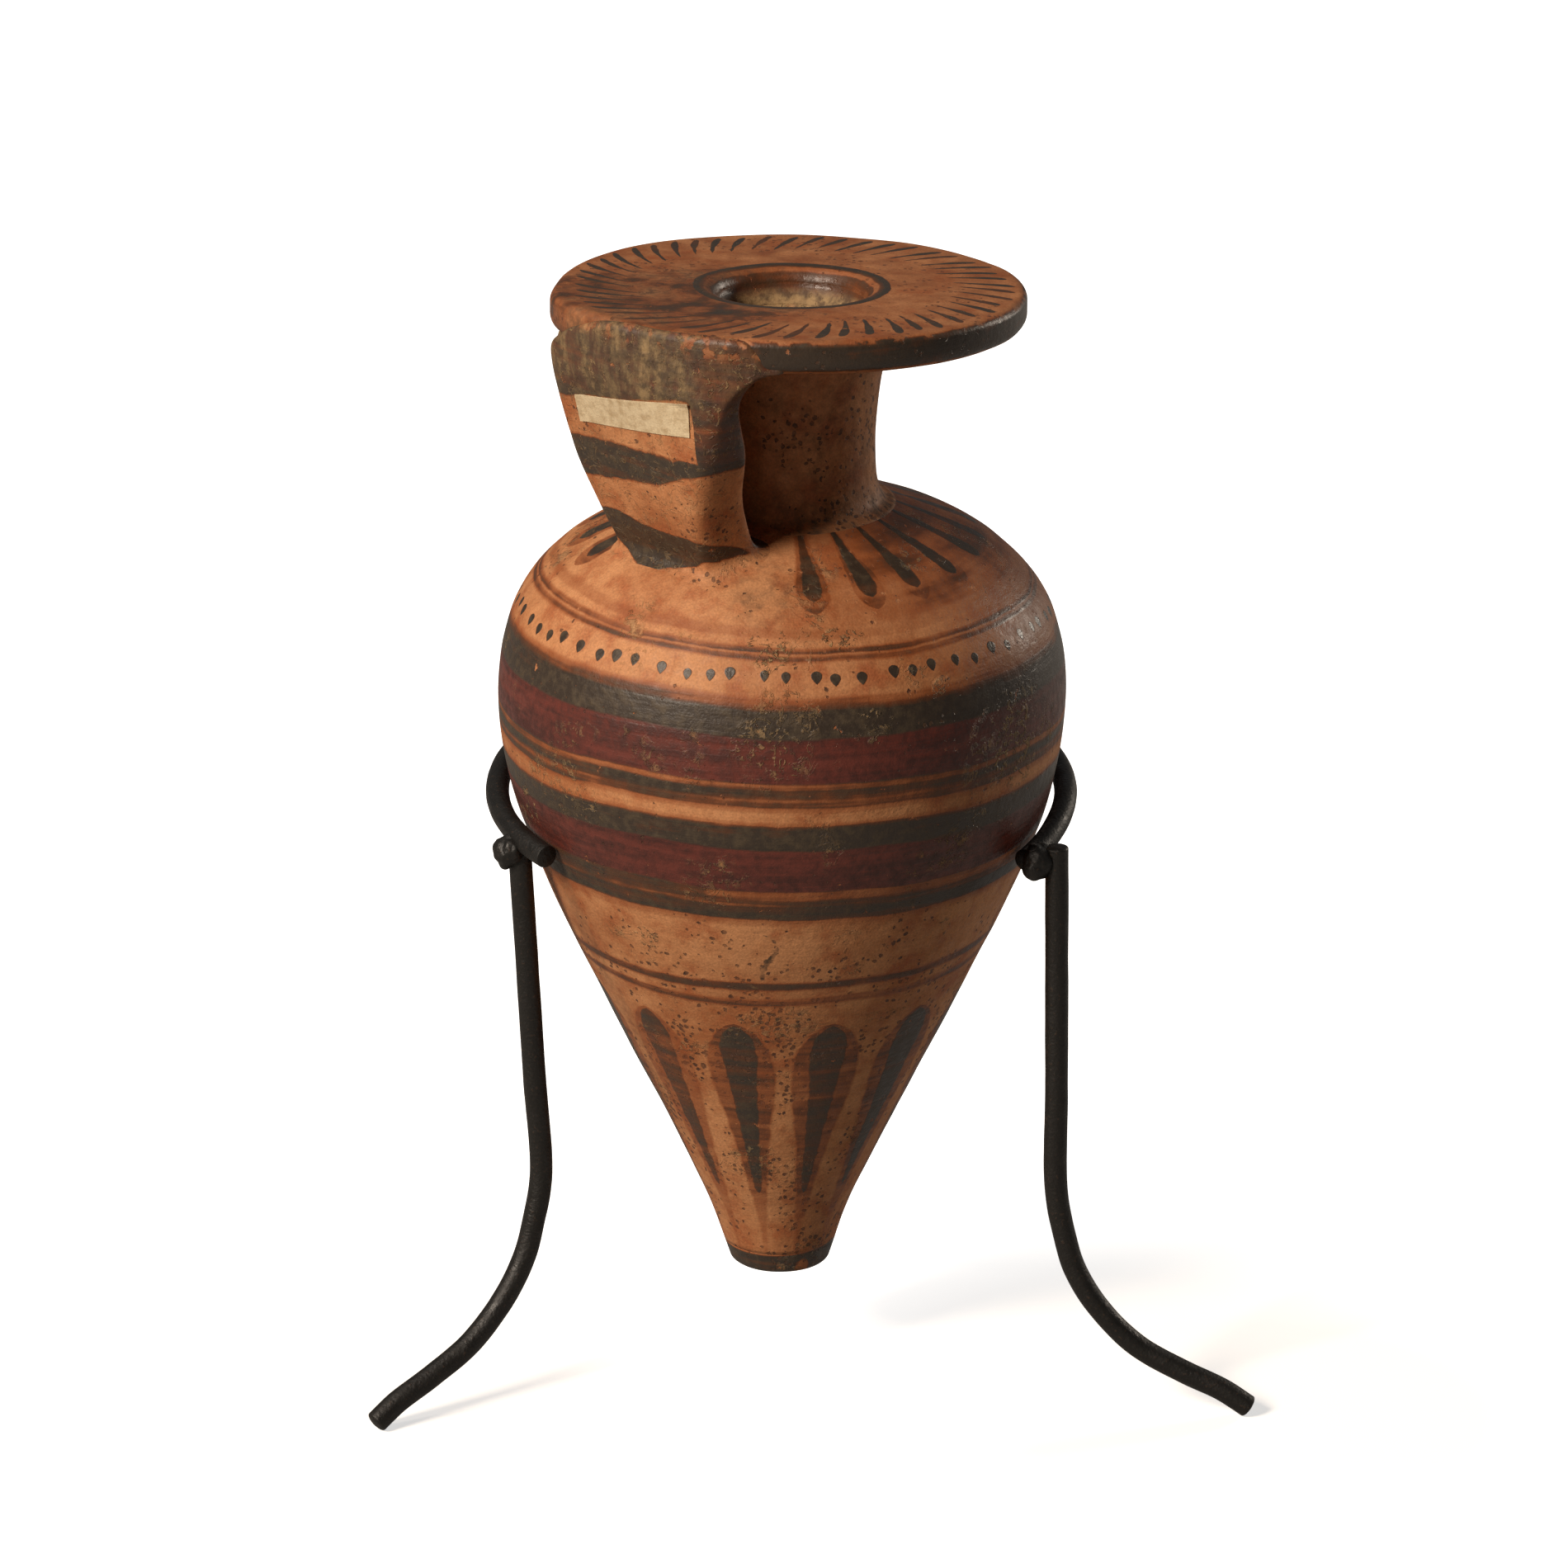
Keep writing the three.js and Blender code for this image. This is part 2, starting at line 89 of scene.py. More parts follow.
# Stand, with heights from the floor
FOOT_CLEARANCE = 14 * MM
RING_TILT = 5.8
RING_PLAY = 0.7 * MM
RING_GAP = 0.3 * MM
RIGHT_END_DROOP = 1.6 * MM
KNEE_HEIGHT = 30 * MM
RIGHT_LEG_LAP = 2 * MM
FOOT_FLAT = 0.5 * MM
WELD_GAP = 0.3 * MM
FRONT_AZIMUTH = 44
RING_LEFT_END = -56.5
RING_RIGHT_END = -299
LEGS = {
    "front_left_leg": {"top": -68, "foot": -63.3, "spread": 22 * MM, "inset": 3 * MM},
    "front_right_leg": {"top": -295.5, "foot": -287.9, "spread": 27.9 * MM, "inset": -0.6 * MM},
    "back_leg": {"top": -180, "foot": -180, "spread": 23.5 * MM, "inset": 1.5 * MM},
}

# Lower wall: height share from foot to widest level, radius share
LOWER_WALL = [
    (0, 0), (0.048, 0.04), (0.088, 0.079), (0.142, 0.142), (0.224, 0.24), (0.383, 0.437),
    (0.517, 0.599), (0.673, 0.784), (0.758, 0.868), (0.829, 0.932), (0.92, 0.982), (1, 1),
]
# Shoulder: height share from widest level to top, radius share
SHOULDER = [
    (0.18, 0.992), (0.33, 0.959), (0.459, 0.91), (0.57, 0.832), (0.663, 0.735),
    (0.737, 0.637), (0.822, 0.483), (0.896, 0.295), (0.955, 0.125), (1, 0),
]
# Strap: height share, reach share, width share
STRAP = [
    (-0.14, -0.2, 0), (0, 0, 0.02), (0.265, 0.53, 0.24), (0.53, 0.84, 0.62),
    (0.87, 0.97, 0.96), (1.1, 1, 1), (1.34, 1, 1),
]
# Foot of a leg: height share, reach share
LEG_BEND = [
    (1, 0), (0.79, 0.045), (0.63, 0.1), (0.46, 0.215), (0.28, 0.415), (0.16, 0.66),
    (0.08, 0.86), (0, 1),
]
LEG_STRAIGHT = (0, 0.35, 0.7)
# Strap's face under the disc: how far it stands out and from how far down, and how far under the
# disc's top it folds over, from pairs of a place across the strap and a drop
FACE_BULGE = 2.0 * MM
FACE_BULGE_START = 12 * MM
FOLD = [
    (-14.5 * MM, 5.6 * MM), (-13.4 * MM, 4.6 * MM), (-11.5 * MM, 3.3 * MM), (-9 * MM, 2.1 * MM),
    (-6 * MM, 1.0 * MM), (-3 * MM, 0.2 * MM), (0, 0), (14 * MM, 0),
]
FOLD_ROLL = 1.0 * MM
# The strap's right side is thicker and wider towards the neck, which fades out over a run that
# starts somewhat under the disc
BACK_DEPTH = 1.3 * MM
BACK_WIDTH = 1.9 * MM
BACK_FADE_START = 13 * MM
BACK_FADE = 11 * MM
# Clay of the disc's rim pushed out at the left end of the strap, from a radius outwards
RIM_BULGE = 1.2 * MM
RIM_BULGE_START = 21 * MM
RIM_BULGE_AZIMUTH = -30
RIM_BULGE_HALF_ANGLE = 24
# Paper label: its corners in millimetres, across the strap and up from the vessel's base, from the
# lower left to the lower right, the upper right and the upper left
LABEL_CORNERS = [(-8.4, 119.2), (10.4, 121.0), (10.4, 125.5), (-8.4, 122.9)]
LABEL_THICKNESS = 0.14 * MM


def middle_of(node_name):
    low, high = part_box(node_name)
    return (low + high) / 2


# The turned foot stands on the vessel's own axis
AXIS = Vector((middle_of("vessel_foot").x, middle_of("vessel_foot").y, FOOT_CLEARANCE))


def direction(azimuth):
    angle = math.radians(azimuth)
    return Vector((math.sin(angle), -math.cos(angle), 0))


DISC_RISE = direction(DISC_UPHILL_AZIMUTH) * DISC_SLOPE
DISC_SHIFT = direction(DISC_OFFSET_AZIMUTH) * DISC_OFFSET


def smooth(value):
    share = min(1, max(0, value))
    return share * share * (3 - 2 * share)


def lerp(low, high, share):
    return low + (high - low) * share


# ---------------------------------------------------------------- curves

def spline(points, steps, spacing=0.0):
    """Catmull-Rom curve through the points; spacing 0.5 makes it centripetal."""
    points = [Vector(point) for point in points]
    padded = [2 * points[0] - points[1], *points, 2 * points[-1] - points[-2]]
    found = []
    for i in range(len(points) - 1):
        before, start, end, after = padded[i:i + 4]
        a, b, c = (
            (start - before).length ** spacing,
            (end - start).length ** spacing,
            (after - end).length ** spacing,
        )
        leave = ((start - before) / a - (end - before) / (a + b) + (end - start) / b) * b
        arrive = ((end - start) / b - (after - start) / (b + c) + (after - end) / c) * b
        for step in range(steps):
            t = step / steps
            found.append(
                start * (2 * t ** 3 - 3 * t ** 2 + 1) + leave * (t ** 3 - 2 * t ** 2 + t)
                + end * (3 * t ** 2 - 2 * t ** 3) + arrive * (t ** 3 - t ** 2)
            )
    return [*found, points[-1]]


def evenly(points, spacing):
    """The same line with a point at about every spacing."""
    lengths = [0]
    for start, end in zip(points, points[1:]):
        lengths.append(lengths[-1] + (end - start).length)
    count = max(1, round(lengths[-1] / spacing))
    found, i = [], 0
    for step in range(count + 1):
        wanted = lengths[-1] * step / count
        while i < len(points) - 2 and lengths[i + 1] < wanted:
            i += 1
        span = lengths[i + 1] - lengths[i]
        found.append(points[i].lerp(points[i + 1], (wanted - lengths[i]) / span if span else 0))
    return found


def arc(r, z, radius, start, end, steps=8):
    """Points of an arc in an outline, with angles from the outward direction."""
    angles = [math.radians(lerp(start, end, i / steps)) for i in range(steps + 1)]
    return [Vector((r + radius * math.cos(a), z + radius * math.sin(a))) for a in angles]


def sloped(points, spacing):
    """Straight runs of an outline, cut into short steps."""
    found = []
    for start, end in zip(points, points[1:]):
        found += evenly([Vector(start), Vector(end)], spacing)[:-1]
    return [*found, Vector(points[-1])]


def body_outline(settings):
    radius = settings.body_radius
    lower = [(lerp(FOOT_RADIUS, radius, r), lerp(FOOT_HEIGHT, WIDEST_HEIGHT, h)) for h, r in LOWER_WALL]
    upper = [
        (lerp(SEAT_RIM_RADIUS, radius, r), WIDEST_HEIGHT + h * SHOULDER_HEIGHT) for h, r in SHOULDER
    ]
    return spline([*lower, *upper], steps=24)


class BodyWall:
    """Radius and height of the body's outer wall, read off its outline."""

    def __init__(self, settings):
        self.outline = body_outline(settings)

    def radius_at(self, height):
        for low, high in zip(self.outline, self.outline[1:]):
            if low.y <= height <= high.y:
                return lerp(low.x, high.x, (height - low.y) / (high.y - low.y))
        return FOOT_RADIUS if height < FOOT_HEIGHT else SEAT_RIM_RADIUS

    def shoulder_at(self, radius):
        for low, high in zip(self.outline[::-1], self.outline[-2::-1]):
            if low.x <= radius <= high.x:
                return lerp(low.y, high.y, (radius - low.x) / (high.x - low.x))
        return SHOULDER_TOP if radius < SEAT_RIM_RADIUS else WIDEST_HEIGHT

    def slope_at(self, height, reach):
        return (self.radius_at(height + reach) - self.radius_at(height - reach)) / (2 * reach)


# ---------------------------------------------------------------- nodes and meshes

def sockets_of(item):
    return [socket for socket in item if socket.enabled]


def node(tree, kind, *values, **settings):
    """Adds a node with its settings; its inputs are given in order or, in one dict, by name.

    The kind is a type of node or, in capitals, an operation such as MULTIPLY or VECTOR ADD.
    """
    if kind.isupper():
        settings["operation"] = kind.removeprefix("VECTOR ")
        kind = "ShaderNodeVectorMath" if kind.startswith("VECTOR ") else "ShaderNodeMath"
    added = tree.nodes.new(kind)
    for name, value in settings.items():
        setattr(added, name, value)
    inputs = sockets_of(added.inputs)
    if values and isinstance(values[0], dict):
        by_name = {socket.name: socket for socket in reversed(inputs)}
        pairs = [(by_name[name], value) for name, value in values[0].items()]
    else:
        pairs = zip(inputs, values)
    for socket, value in pairs:
        if isinstance(value, bpy.types.Node):
            value = sockets_of(value.outputs)[0]
        if isinstance(value, bpy.types.NodeSocket):
            tree.links.new(value, socket)
        elif value is not None:
            socket.default_value = value
    return added


def new_tree(name, kind, inputs, outputs):
    """A node group with named inputs and outputs, what adds its nodes, and its given values."""
    tree = bpy.data.node_groups.new(name, kind)
    for way, sockets in (("INPUT", inputs), ("OUTPUT", outputs)):
        for label, socket in sockets.items():
            tree.interface.new_socket(name=label, in_out=way, socket_type=f"NodeSocket{socket}")
    add = partial(node, tree)
    return tree, add, add("NodeGroupInput").outputs


def piece_tree(name, inputs):
    """A tree that grows a piece from a mesh, with hand-made lumps and a material."""
    given = {"Mesh": "Geometry", "Lump size": "Float", "Lump depth": "Float", "Material": "Material"}
    return new_tree(name, "GeometryNodeTree", given | inputs, {"Mesh": "Geometry"})


def close_tree(add, given, geometry, seed=0.0):
    """Ends a piece's tree: lumps, smooth shading, real geometry and its material."""
    uneven = lumpy(add, geometry, given["Lump size"], given["Lump depth"], seed)
    real = add("GeometryNodeRealizeInstances", add("GeometryNodeSetShadeSmooth", uneven))
    add("NodeGroupOutput", add("GeometryNodeSetMaterial", real, True, given["Material"]))


def lumpy(add, geometry, size, depth, seed):
    """Pushes the surface in and out by soft lumps of a given size."""
    place = add("VECTOR ADD", add("GeometryNodeInputPosition"), (seed, seed, seed))
    lumps = add(NOISE, {"Vector": place, "Scale": add("DIVIDE", 1.0, size), "Detail": 2.0})
    push = add("MULTIPLY", add("SUBTRACT", lumps, 0.5), depth)
    along = add("VECTOR SCALE", {"Vector": add("GeometryNodeInputNormal"), "Scale": push})
    return add("GeometryNodeSetPosition", {"Geometry": geometry, "Offset": along})


def mesh_of(name, points, edges=(), faces=()):
    mesh = bpy.data.meshes.new(name)
    mesh.from_pydata([tuple(point) for point in points], edges, faces)
    mesh.update()
    return mesh


def line_mesh(name, points):
    return mesh_of(name, points, [(i, i + 1) for i in range(len(points) - 1)])


def linked(name, mesh):
    piece = bpy.data.objects.new(name, mesh)
    bpy.context.scene.collection.objects.link(piece)
    return piece


def evaluated_mesh(piece):
    """The piece's shape after its modifiers, as a plain mesh."""
    graph = bpy.context.evaluated_depsgraph_get()
    return bpy.data.meshes.new_from_object(
        piece.evaluated_get(graph), preserve_all_data_layers=True, depsgraph=graph
    )


def grown(name, mesh, tree, values):
    """Runs a Geometry Nodes tree on the mesh and keeps the result as a plain mesh."""
    piece = linked(name, mesh)
    modifier = piece.modifiers.new(tree.name, "NODES")
    modifier.node_group = tree
    for item in tree.interface.items_tree:
        if item.item_type == "SOCKET" and item.in_out == "INPUT" and item.name in values:
            modifier[item.identifier] = values[item.name]
    made = evaluated_mesh(piece)
    piece.modifiers.remove(modifier)
    piece.data = made
    made.name = name
    return piece


def fused(piece, material, voxel, rounds):
    """Keeps one skin over the piece's parts, rubbed smooth where they meet, in one material."""
    skin = piece.modifiers.new("One skin", "REMESH")
    skin.mode, skin.voxel_size, skin.use_smooth_shade = "VOXEL", voxel, True
    rubbed = piece.modifiers.new("Rubbed smooth", "SMOOTH")
    rubbed.factor, rubbed.iterations = 0.5, rounds
    made = evaluated_mesh(piece)
    piece.modifiers.clear()
    made.name = piece.name
    made.materials.clear()
    made.materials.append(material)
    piece.data = made


def volume_of(points, faces):
    """Signed volume of a closed skin, positive when its faces point outwards."""
    volume = 0.0
    for face in faces:
        for i in range(1, len(face) - 1):
            a, b, c = points[face[0]], points[face[i]], points[face[i + 1]]
            volume += a.dot(b.cross(c)) / 6
    return volume


def outward(mesh):
    """Turns a closed mesh's faces outwards."""
    points = [vertex.co for vertex in mesh.vertices]
    if volume_of(points, [face.vertices for face in mesh.polygons]) < 0:
        mesh.flip_normals()


def fit_to(piece, body, slot, *nodes):
    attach(piece, body)
    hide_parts(*nodes)


# ---------------------------------------------------------------- finishes

Place = namedtuple("Place", "vector height radius angle")


def emptied(holder):
    """Empties the node tree of a material or world and gives what adds its nodes."""
    holder.use_nodes = True
    holder.node_tree.nodes.clear()
    return partial(node, holder.node_tree)


def surfaced(add, colour, roughness, ior, relief, depth):
    """Ends a material with its colour and gloss over a relief of a given depth."""
    bump = add("ShaderNodeBump", {"Strength": 1.0, "Distance": depth, "Height": relief})
    shader = add("ShaderNodeBsdfPrincipled", {
        "Base Color": colour, "Roughness": roughness, "IOR": ior, "Normal": bump,
    })
    add("ShaderNodeOutputMaterial", shader)


def linear(hex_colour):
    """Linear colour of an sRGB hex value such as C98A5C."""
    parts = [int(hex_colour[i:i + 2], 16) / 255 for i in (0, 2, 4)]
    return [c / 12.92 if c <= 0.04045 else ((c + 0.055) / 1.055) ** 2.4 for c in parts] + [1.0]


def folded(add, operation, values):
    """Several values joined by one operation, such as their highest or their product."""
    found = values[0]
    for value in values[1:]:
        found = add(operation, found, value)
    return found


def measured_place(add, centre):
    """Place in millimetres from a centre, turned so that the open front lies at -Y."""
    turn = math.radians(-FRONT_AZIMUTH)
    vector = add("ShaderNodeMapping", {
        "Vector": add("ShaderNodeTexCoord").outputs["Object"],
        "Location": Matrix.Rotation(turn, 3, "Z") @ centre / -MM,
        "Rotation": (0, 0, turn),
        "Scale": (1 / MM, 1 / MM, 1 / MM),
    })
    split = add(SPLIT_XYZ, vector).outputs
    flat = add("VECTOR MULTIPLY", vector, (1, 1, 0))
    front = add("MULTIPLY", split["Y"], -1.0)
    turned = add("ARCTAN2", split["X"], front)
    return Place(vector, split["Z"], add("VECTOR LENGTH", flat), add("DEGREES", turned))


def set_stops(ramp, stops, interpolation="LINEAR"):
    ramp.color_ramp.interpolation = interpolation
    elements = ramp.color_ramp.elements
    elements.remove(elements[1])
    for i, (position, colour) in enumerate(stops):
        element = elements.new(position) if i else elements[0]
        element.position, element.color = position, colour


def bands(add, height, stops):
    """Thickness of the slip up the wall, from pairs of a height and a share."""
    low, high = stops[0][0], stops[-1][0]
    ramp = add("ShaderNodeValToRGB", add(RANGE, height, low, high, 0.0, 1.0))
    set_stops(ramp, [((z - low) / (high - low), (t, t, t, 1)) for z, t in stops], "EASE")
    return ramp


def drawn_line(add, value, points):
    """A hand-drawn line: its level for a value, from pairs of a value and a level."""
    low, high = points[0][0], points[-1][0]
    bottom, top = min(y for _, y in points), max(y for _, y in points)
    curve = add("ShaderNodeFloatCurve", {"Value": add(RANGE, value, low, high, 0.0, 1.0)})
    places = curve.mapping.curves[0].points
    for i, (x, y) in enumerate(points):
        share = ((x - low) / (high - low), (y - bottom) / (top - bottom))
        if i in (0, len(points) - 1):
            places[0 if i == 0 else len(places) - 1].location = share
        else:
            places.new(*share)
    curve.mapping.update()
    return add(RANGE, curve, 0.0, 1.0, bottom, top)


def strokes_round(add, angle, count, first, jitter):
    """Degrees from the middle of the nearest of many strokes, and three chances of its own."""
    half = 180 / count
    turned = add("SUBTRACT", angle, first)
    wrapped = add("WRAP", turned, half, -half)
    steps = add("DIVIDE", add("ADD", turned, half), 2 * half)
    number = add("FLOOR", steps)
    number = add("FLOORED_MODULO", number, count)
    noise = add("ShaderNodeTexWhiteNoise", {"W": number}, noise_dimensions="1D")
    chances = add(SPLIT_XYZ, noise.outputs["Color"]).outputs
    shift = add(RANGE, chances["X"], 0.0, 1.0, -jitter, jitter)
    return add("ADD", wrapped, shift), chances


def millimetres(add, degrees, radius):
    """Length of an arc without its sign."""
    reach = add("MULTIPLY", add("MULTIPLY", degrees, radius), math.radians(1))
    return add("ABSOLUTE", reach)


def inside(add, half_width, distance, edge):
    """One inside a stroke, falling to nothing over its soft edge."""
    depth = add("SUBTRACT", half_width, distance)
    return add(RANGE, depth, 0.0, edge, 0.0, 1.0, interpolation_type="SMOOTHSTEP")


def patch(add, place, ragged, angle, height, wide, high):
    """Ragged spot at an angle and height, with its half width and height in millimetres."""
    turned = add("SUBTRACT", place.angle, angle)
    reach = add("MULTIPLY", place.radius, math.radians(1) / wide)
    across = add("MULTIPLY", turned, reach)
    up = add(RANGE, place.height, height - high, height + high, -1.0, 1.0, clamp=False)
    away = add("VECTOR LENGTH", add(JOIN_XYZ, across, up, 0.0))
    away = add("ADD", away, ragged)
    return add(RANGE, away, 1.5, 1.15, 0.0, 1.0, interpolation_type="SMOOTHSTEP")


def spots(add, place, scale, amount, biggest):
    """Scattered round spots; amount is the share of cells that hold one."""
    cells = add("ShaderNodeTexVoronoi", {"Vector": place, "Scale": scale})
    chance = add(SPLIT_XYZ, cells.outputs["Color"]).outputs["X"]
    excess = add("ADD", chance, amount)
    size = add(RANGE, excess, 0.98, 1.35, -0.05, biggest)
    return inside(add, size, cells.outputs["Distance"], 0.08)


def slip_on_clay(finish):
    """Fired clay under iron slip: the slip turns from orange to black as it lies thicker.

    Clay pits show as dark dots, worn spots let the clay through and crust lies on top. Scales are
    per millimetre. Real grit of this clay is too fine to show, so it is drawn coarser.
    """
    tree, add, given = new_tree("Slip on clay", "ShaderNodeTree", {
        "Place": "Vector", "Slip": "Float", "Maroon": "Float", "Crust": "Float",
        "Pitted": "Float", "Grimy": "Float", "Dusty": "Float",
    }, {"Colour": "Color", "Roughness": "Float", "Height": "Float"})
    place = given["Place"]
    broad = add(NOISE, {"Vector": place, "Scale": 0.05, "Detail": 2.0})
    cloudy = add(NOISE, {"Vector": place, "Scale": 0.24, "Detail": 4.0, "Roughness": 0.6})
    mottled = add(NOISE, {"Vector": place, "Scale": 0.8, "Detail": 3.0, "Roughness": 0.6})
    gritty = add(NOISE, {"Vector": place, "Scale": 3.4, "Detail": 1.0})
    chipped = add(NOISE, {"Vector": place, "Scale": 0.5, "Detail": 5.0, "Roughness": 0.72})
    brushed = add(NOISE, {
        "Vector": add("VECTOR MULTIPLY", place, (0.04, 0.04, 0.9)),
        "Scale": 1.0, "Detail": 3.0, "Roughness": 0.55,
    })

    # Clay, with its cloudy tone, rust blotches, fine grit and dark pits
    tone = add("ADD", broad, cloudy)
    tone = add(RANGE, tone, 0.8, 1.2, 0.0, 1.0)
    clay = add(MIX, tone, finish.clay_light, finish.clay_dark, data_type="RGBA")
    blotch = add(SPLIT_XYZ, cloudy.outputs["Color"]).outputs["X"]
    blotch = add(RANGE, blotch, 0.52, 0.7, 0.0, 0.5)
    clay = add(MIX, blotch, clay, finish.clay_red, data_type="RGBA")
    grit = add(RANGE, gritty, 0.3, 0.7, 0.84, 1.1)
    clay = add(MIX, 1.0, clay, grit, data_type="RGBA", blend_type="MULTIPLY")
    bent = add("VECTOR ADD", place, add("VECTOR MULTIPLY", chipped.outputs["Color"], (1.3, 1.3, 1.3)))
    crowd = add(NOISE, {"Vector": place, "Scale": 0.11, "Detail": 3.0, "Roughness": 0.6})
    crowd = add(RANGE, crowd, 0.4, 0.62, 0.12, 1.0)
    crowd = add("MULTIPLY", crowd, given["Pitted"])
    specks = spots(add, bent, 1.25, add("MULTIPLY", crowd, 0.95), 0.42)
    pits = spots(add, bent, 0.55, add("MULTIPLY", crowd, 0.28), 0.3)
    holes = add("MAXIMUM", specks, pits)
    dark = add("MULTIPLY", holes, add(RANGE, chipped, 0.35, 0.65, 0.45, 1.0))
    clay = add(MIX, dark, clay, finish.clay_pit, data_type="RGBA")

    # Slip, uneven along the brush, worn off in spots
    thickness = folded(add, "MULTIPLY", [
        given["Slip"], add(RANGE, brushed, 0.3, 0.7, 0.72, 1.18),
        add(RANGE, cloudy, 0.3, 0.7, 0.84, 1.14),
    ])
    chips = add(RANGE, chipped, 0.64, 0.7, 0.0, 0.7)
    worn = add("MULTIPLY", chips, given["Slip"])
    thickness = add("SUBTRACT", thickness, worn, use_clamp=True)
    slip = add("ShaderNodeValToRGB", thickness)
    set_stops(slip, [
        (0.1, finish.slip_thin), (0.34, finish.slip_thin), (0.52, finish.slip_brown),
        (0.7, finish.slip_black), (1.0, finish.slip_black),
    ])
    dusty = folded(add, "MULTIPLY", [
        given["Dusty"], add(RANGE, mottled, 0.45, 0.7, 0.0, 0.55),
        add(RANGE, thickness, 0.3, 0.75, 0.0, 1.0),
    ])
    slip = add(MIX, dusty, slip, finish.slip_dust, data_type="RGBA")
    cover = add(RANGE, thickness, 0.0, 0.46, 0.0, 1.0)
    cover = add("MULTIPLY", cover, add(RANGE, dark, 0.0, 1.0, 1.0, 0.6))
    colour = add(MIX, cover, clay, slip, data_type="RGBA")

    # Purple-red paint, grime and painted shade, and crust on top
    drawn = add("ADD", brushed, mottled)
    red = add(MIX, add(RANGE, drawn, 0.8, 1.2, 0.0, 1.0), finish.maroon,
              finish.maroon_dark, data_type="RGBA")
    red_cover = add("MULTIPLY", given["Maroon"], add(RANGE, chipped, 0.7, 0.64, 0.2, 1.0))
    red_cover = add("MULTIPLY", red_cover, add(RANGE, dark, 0.0, 1.0, 1.0, 0.5))
    colour = add(MIX, red_cover, colour, red, data_type="RGBA")
    # Grime, and on the neck painted shade, darkens the colour towards the dark crust
    grime = add("MULTIPLY", given["Grimy"], add(RANGE, mottled, 0.35, 0.65, 0.3, 1.0))
    colour = add(MIX, grime, colour, finish.crust_dark, data_type="RGBA")
    soil = add(MIX, add(RANGE, mottled, 0.4, 0.62, 0.0, 0.85), finish.crust,
               finish.crust_dark, data_type="RGBA")
    colour = add(MIX, given["Crust"], colour, soil, data_type="RGBA")

    gloss = folded(add, "ADD", [
        add(RANGE, thickness, 0.1, 0.7, 0.65, 0.45),
        add(RANGE, mottled, 0.3, 0.7, -0.06, 0.12),
        add(RANGE, given["Dusty"], 0.0, 1.0, -0.14, 0.0),
    ])
    rough = add(MIX, given["Crust"], gloss, 0.85)
    height = folded(add, "ADD", [
        add("MULTIPLY", holes, -0.14),
        add("MULTIPLY", thickness, 0.04),
        add("MULTIPLY", mottled, 0.1),
        add("MULTIPLY", gritty, 0.03),
        add("MULTIPLY", brushed, 0.08),
        add("MULTIPLY", chips, -0.05),
        add("MULTIPLY", given["Crust"], 0.22),
    ])
    add("NodeGroupOutput", {"Colour": colour, "Roughness": rough, "Height": height})
    return tree


def fired_clay(name, finish, centre, paint):
    """Material of one clay piece; paint gives its slip, maroon, crust, pits, grime and painted shade,
    and dust.
    """
    if name in bpy.data.materials:
        return bpy.data.materials[name]
    material = bpy.data.materials.new(name)
    add = emptied(material)
    place = measured_place(add, centre)
    given = {"Place": place.vector, "Dusty": 1.0, **paint(add, place)}
    group = bpy.data.node_groups.get("Slip on clay") or slip_on_clay(finish)
    surface = add("ShaderNodeGroup", given, node_tree=group).outputs
    surfaced(add, surface["Colour"], surface["Roughness"], 1.5, surface["Height"], MM)
    return material


def rootlets(add, place):
    """Thin broken lines that fine roots left on the clay."""
    wander = add(NOISE, {
        "Vector": place.vector, "Scale": 0.4, "Detail": 4.0, "Roughness": 0.55, "Distortion": 1.0,
    })
    off = add("ABSOLUTE", add("SUBTRACT", wander, 0.5))
    broken = add(NOISE, {"Vector": place.vector, "Scale": 0.9, "Detail": 2.0})
    line = add(RANGE, off, 0.032, 0.014, 0.0, 0.8)
    return add("MULTIPLY", line, add(RANGE, broken, 0.42, 0.55, 0.0, 1.0))


def root_track(add, place, ragged, points):
    """One thick wandering root mark, from pairs of a height and an angle."""
    middle = drawn_line(add, place.height, points)
    away = millimetres(add, add("SUBTRACT", place.angle, middle), place.radius)
    width = add(RANGE, ragged, 0.3, 0.7, -0.35, 0.85)
    within = add("MULTIPLY", add("GREATER_THAN", place.height, points[0][0]),
                 add("LESS_THAN", place.height, points[-1][0]))
    return add("MULTIPLY", inside(add, width, away, 0.3), within)


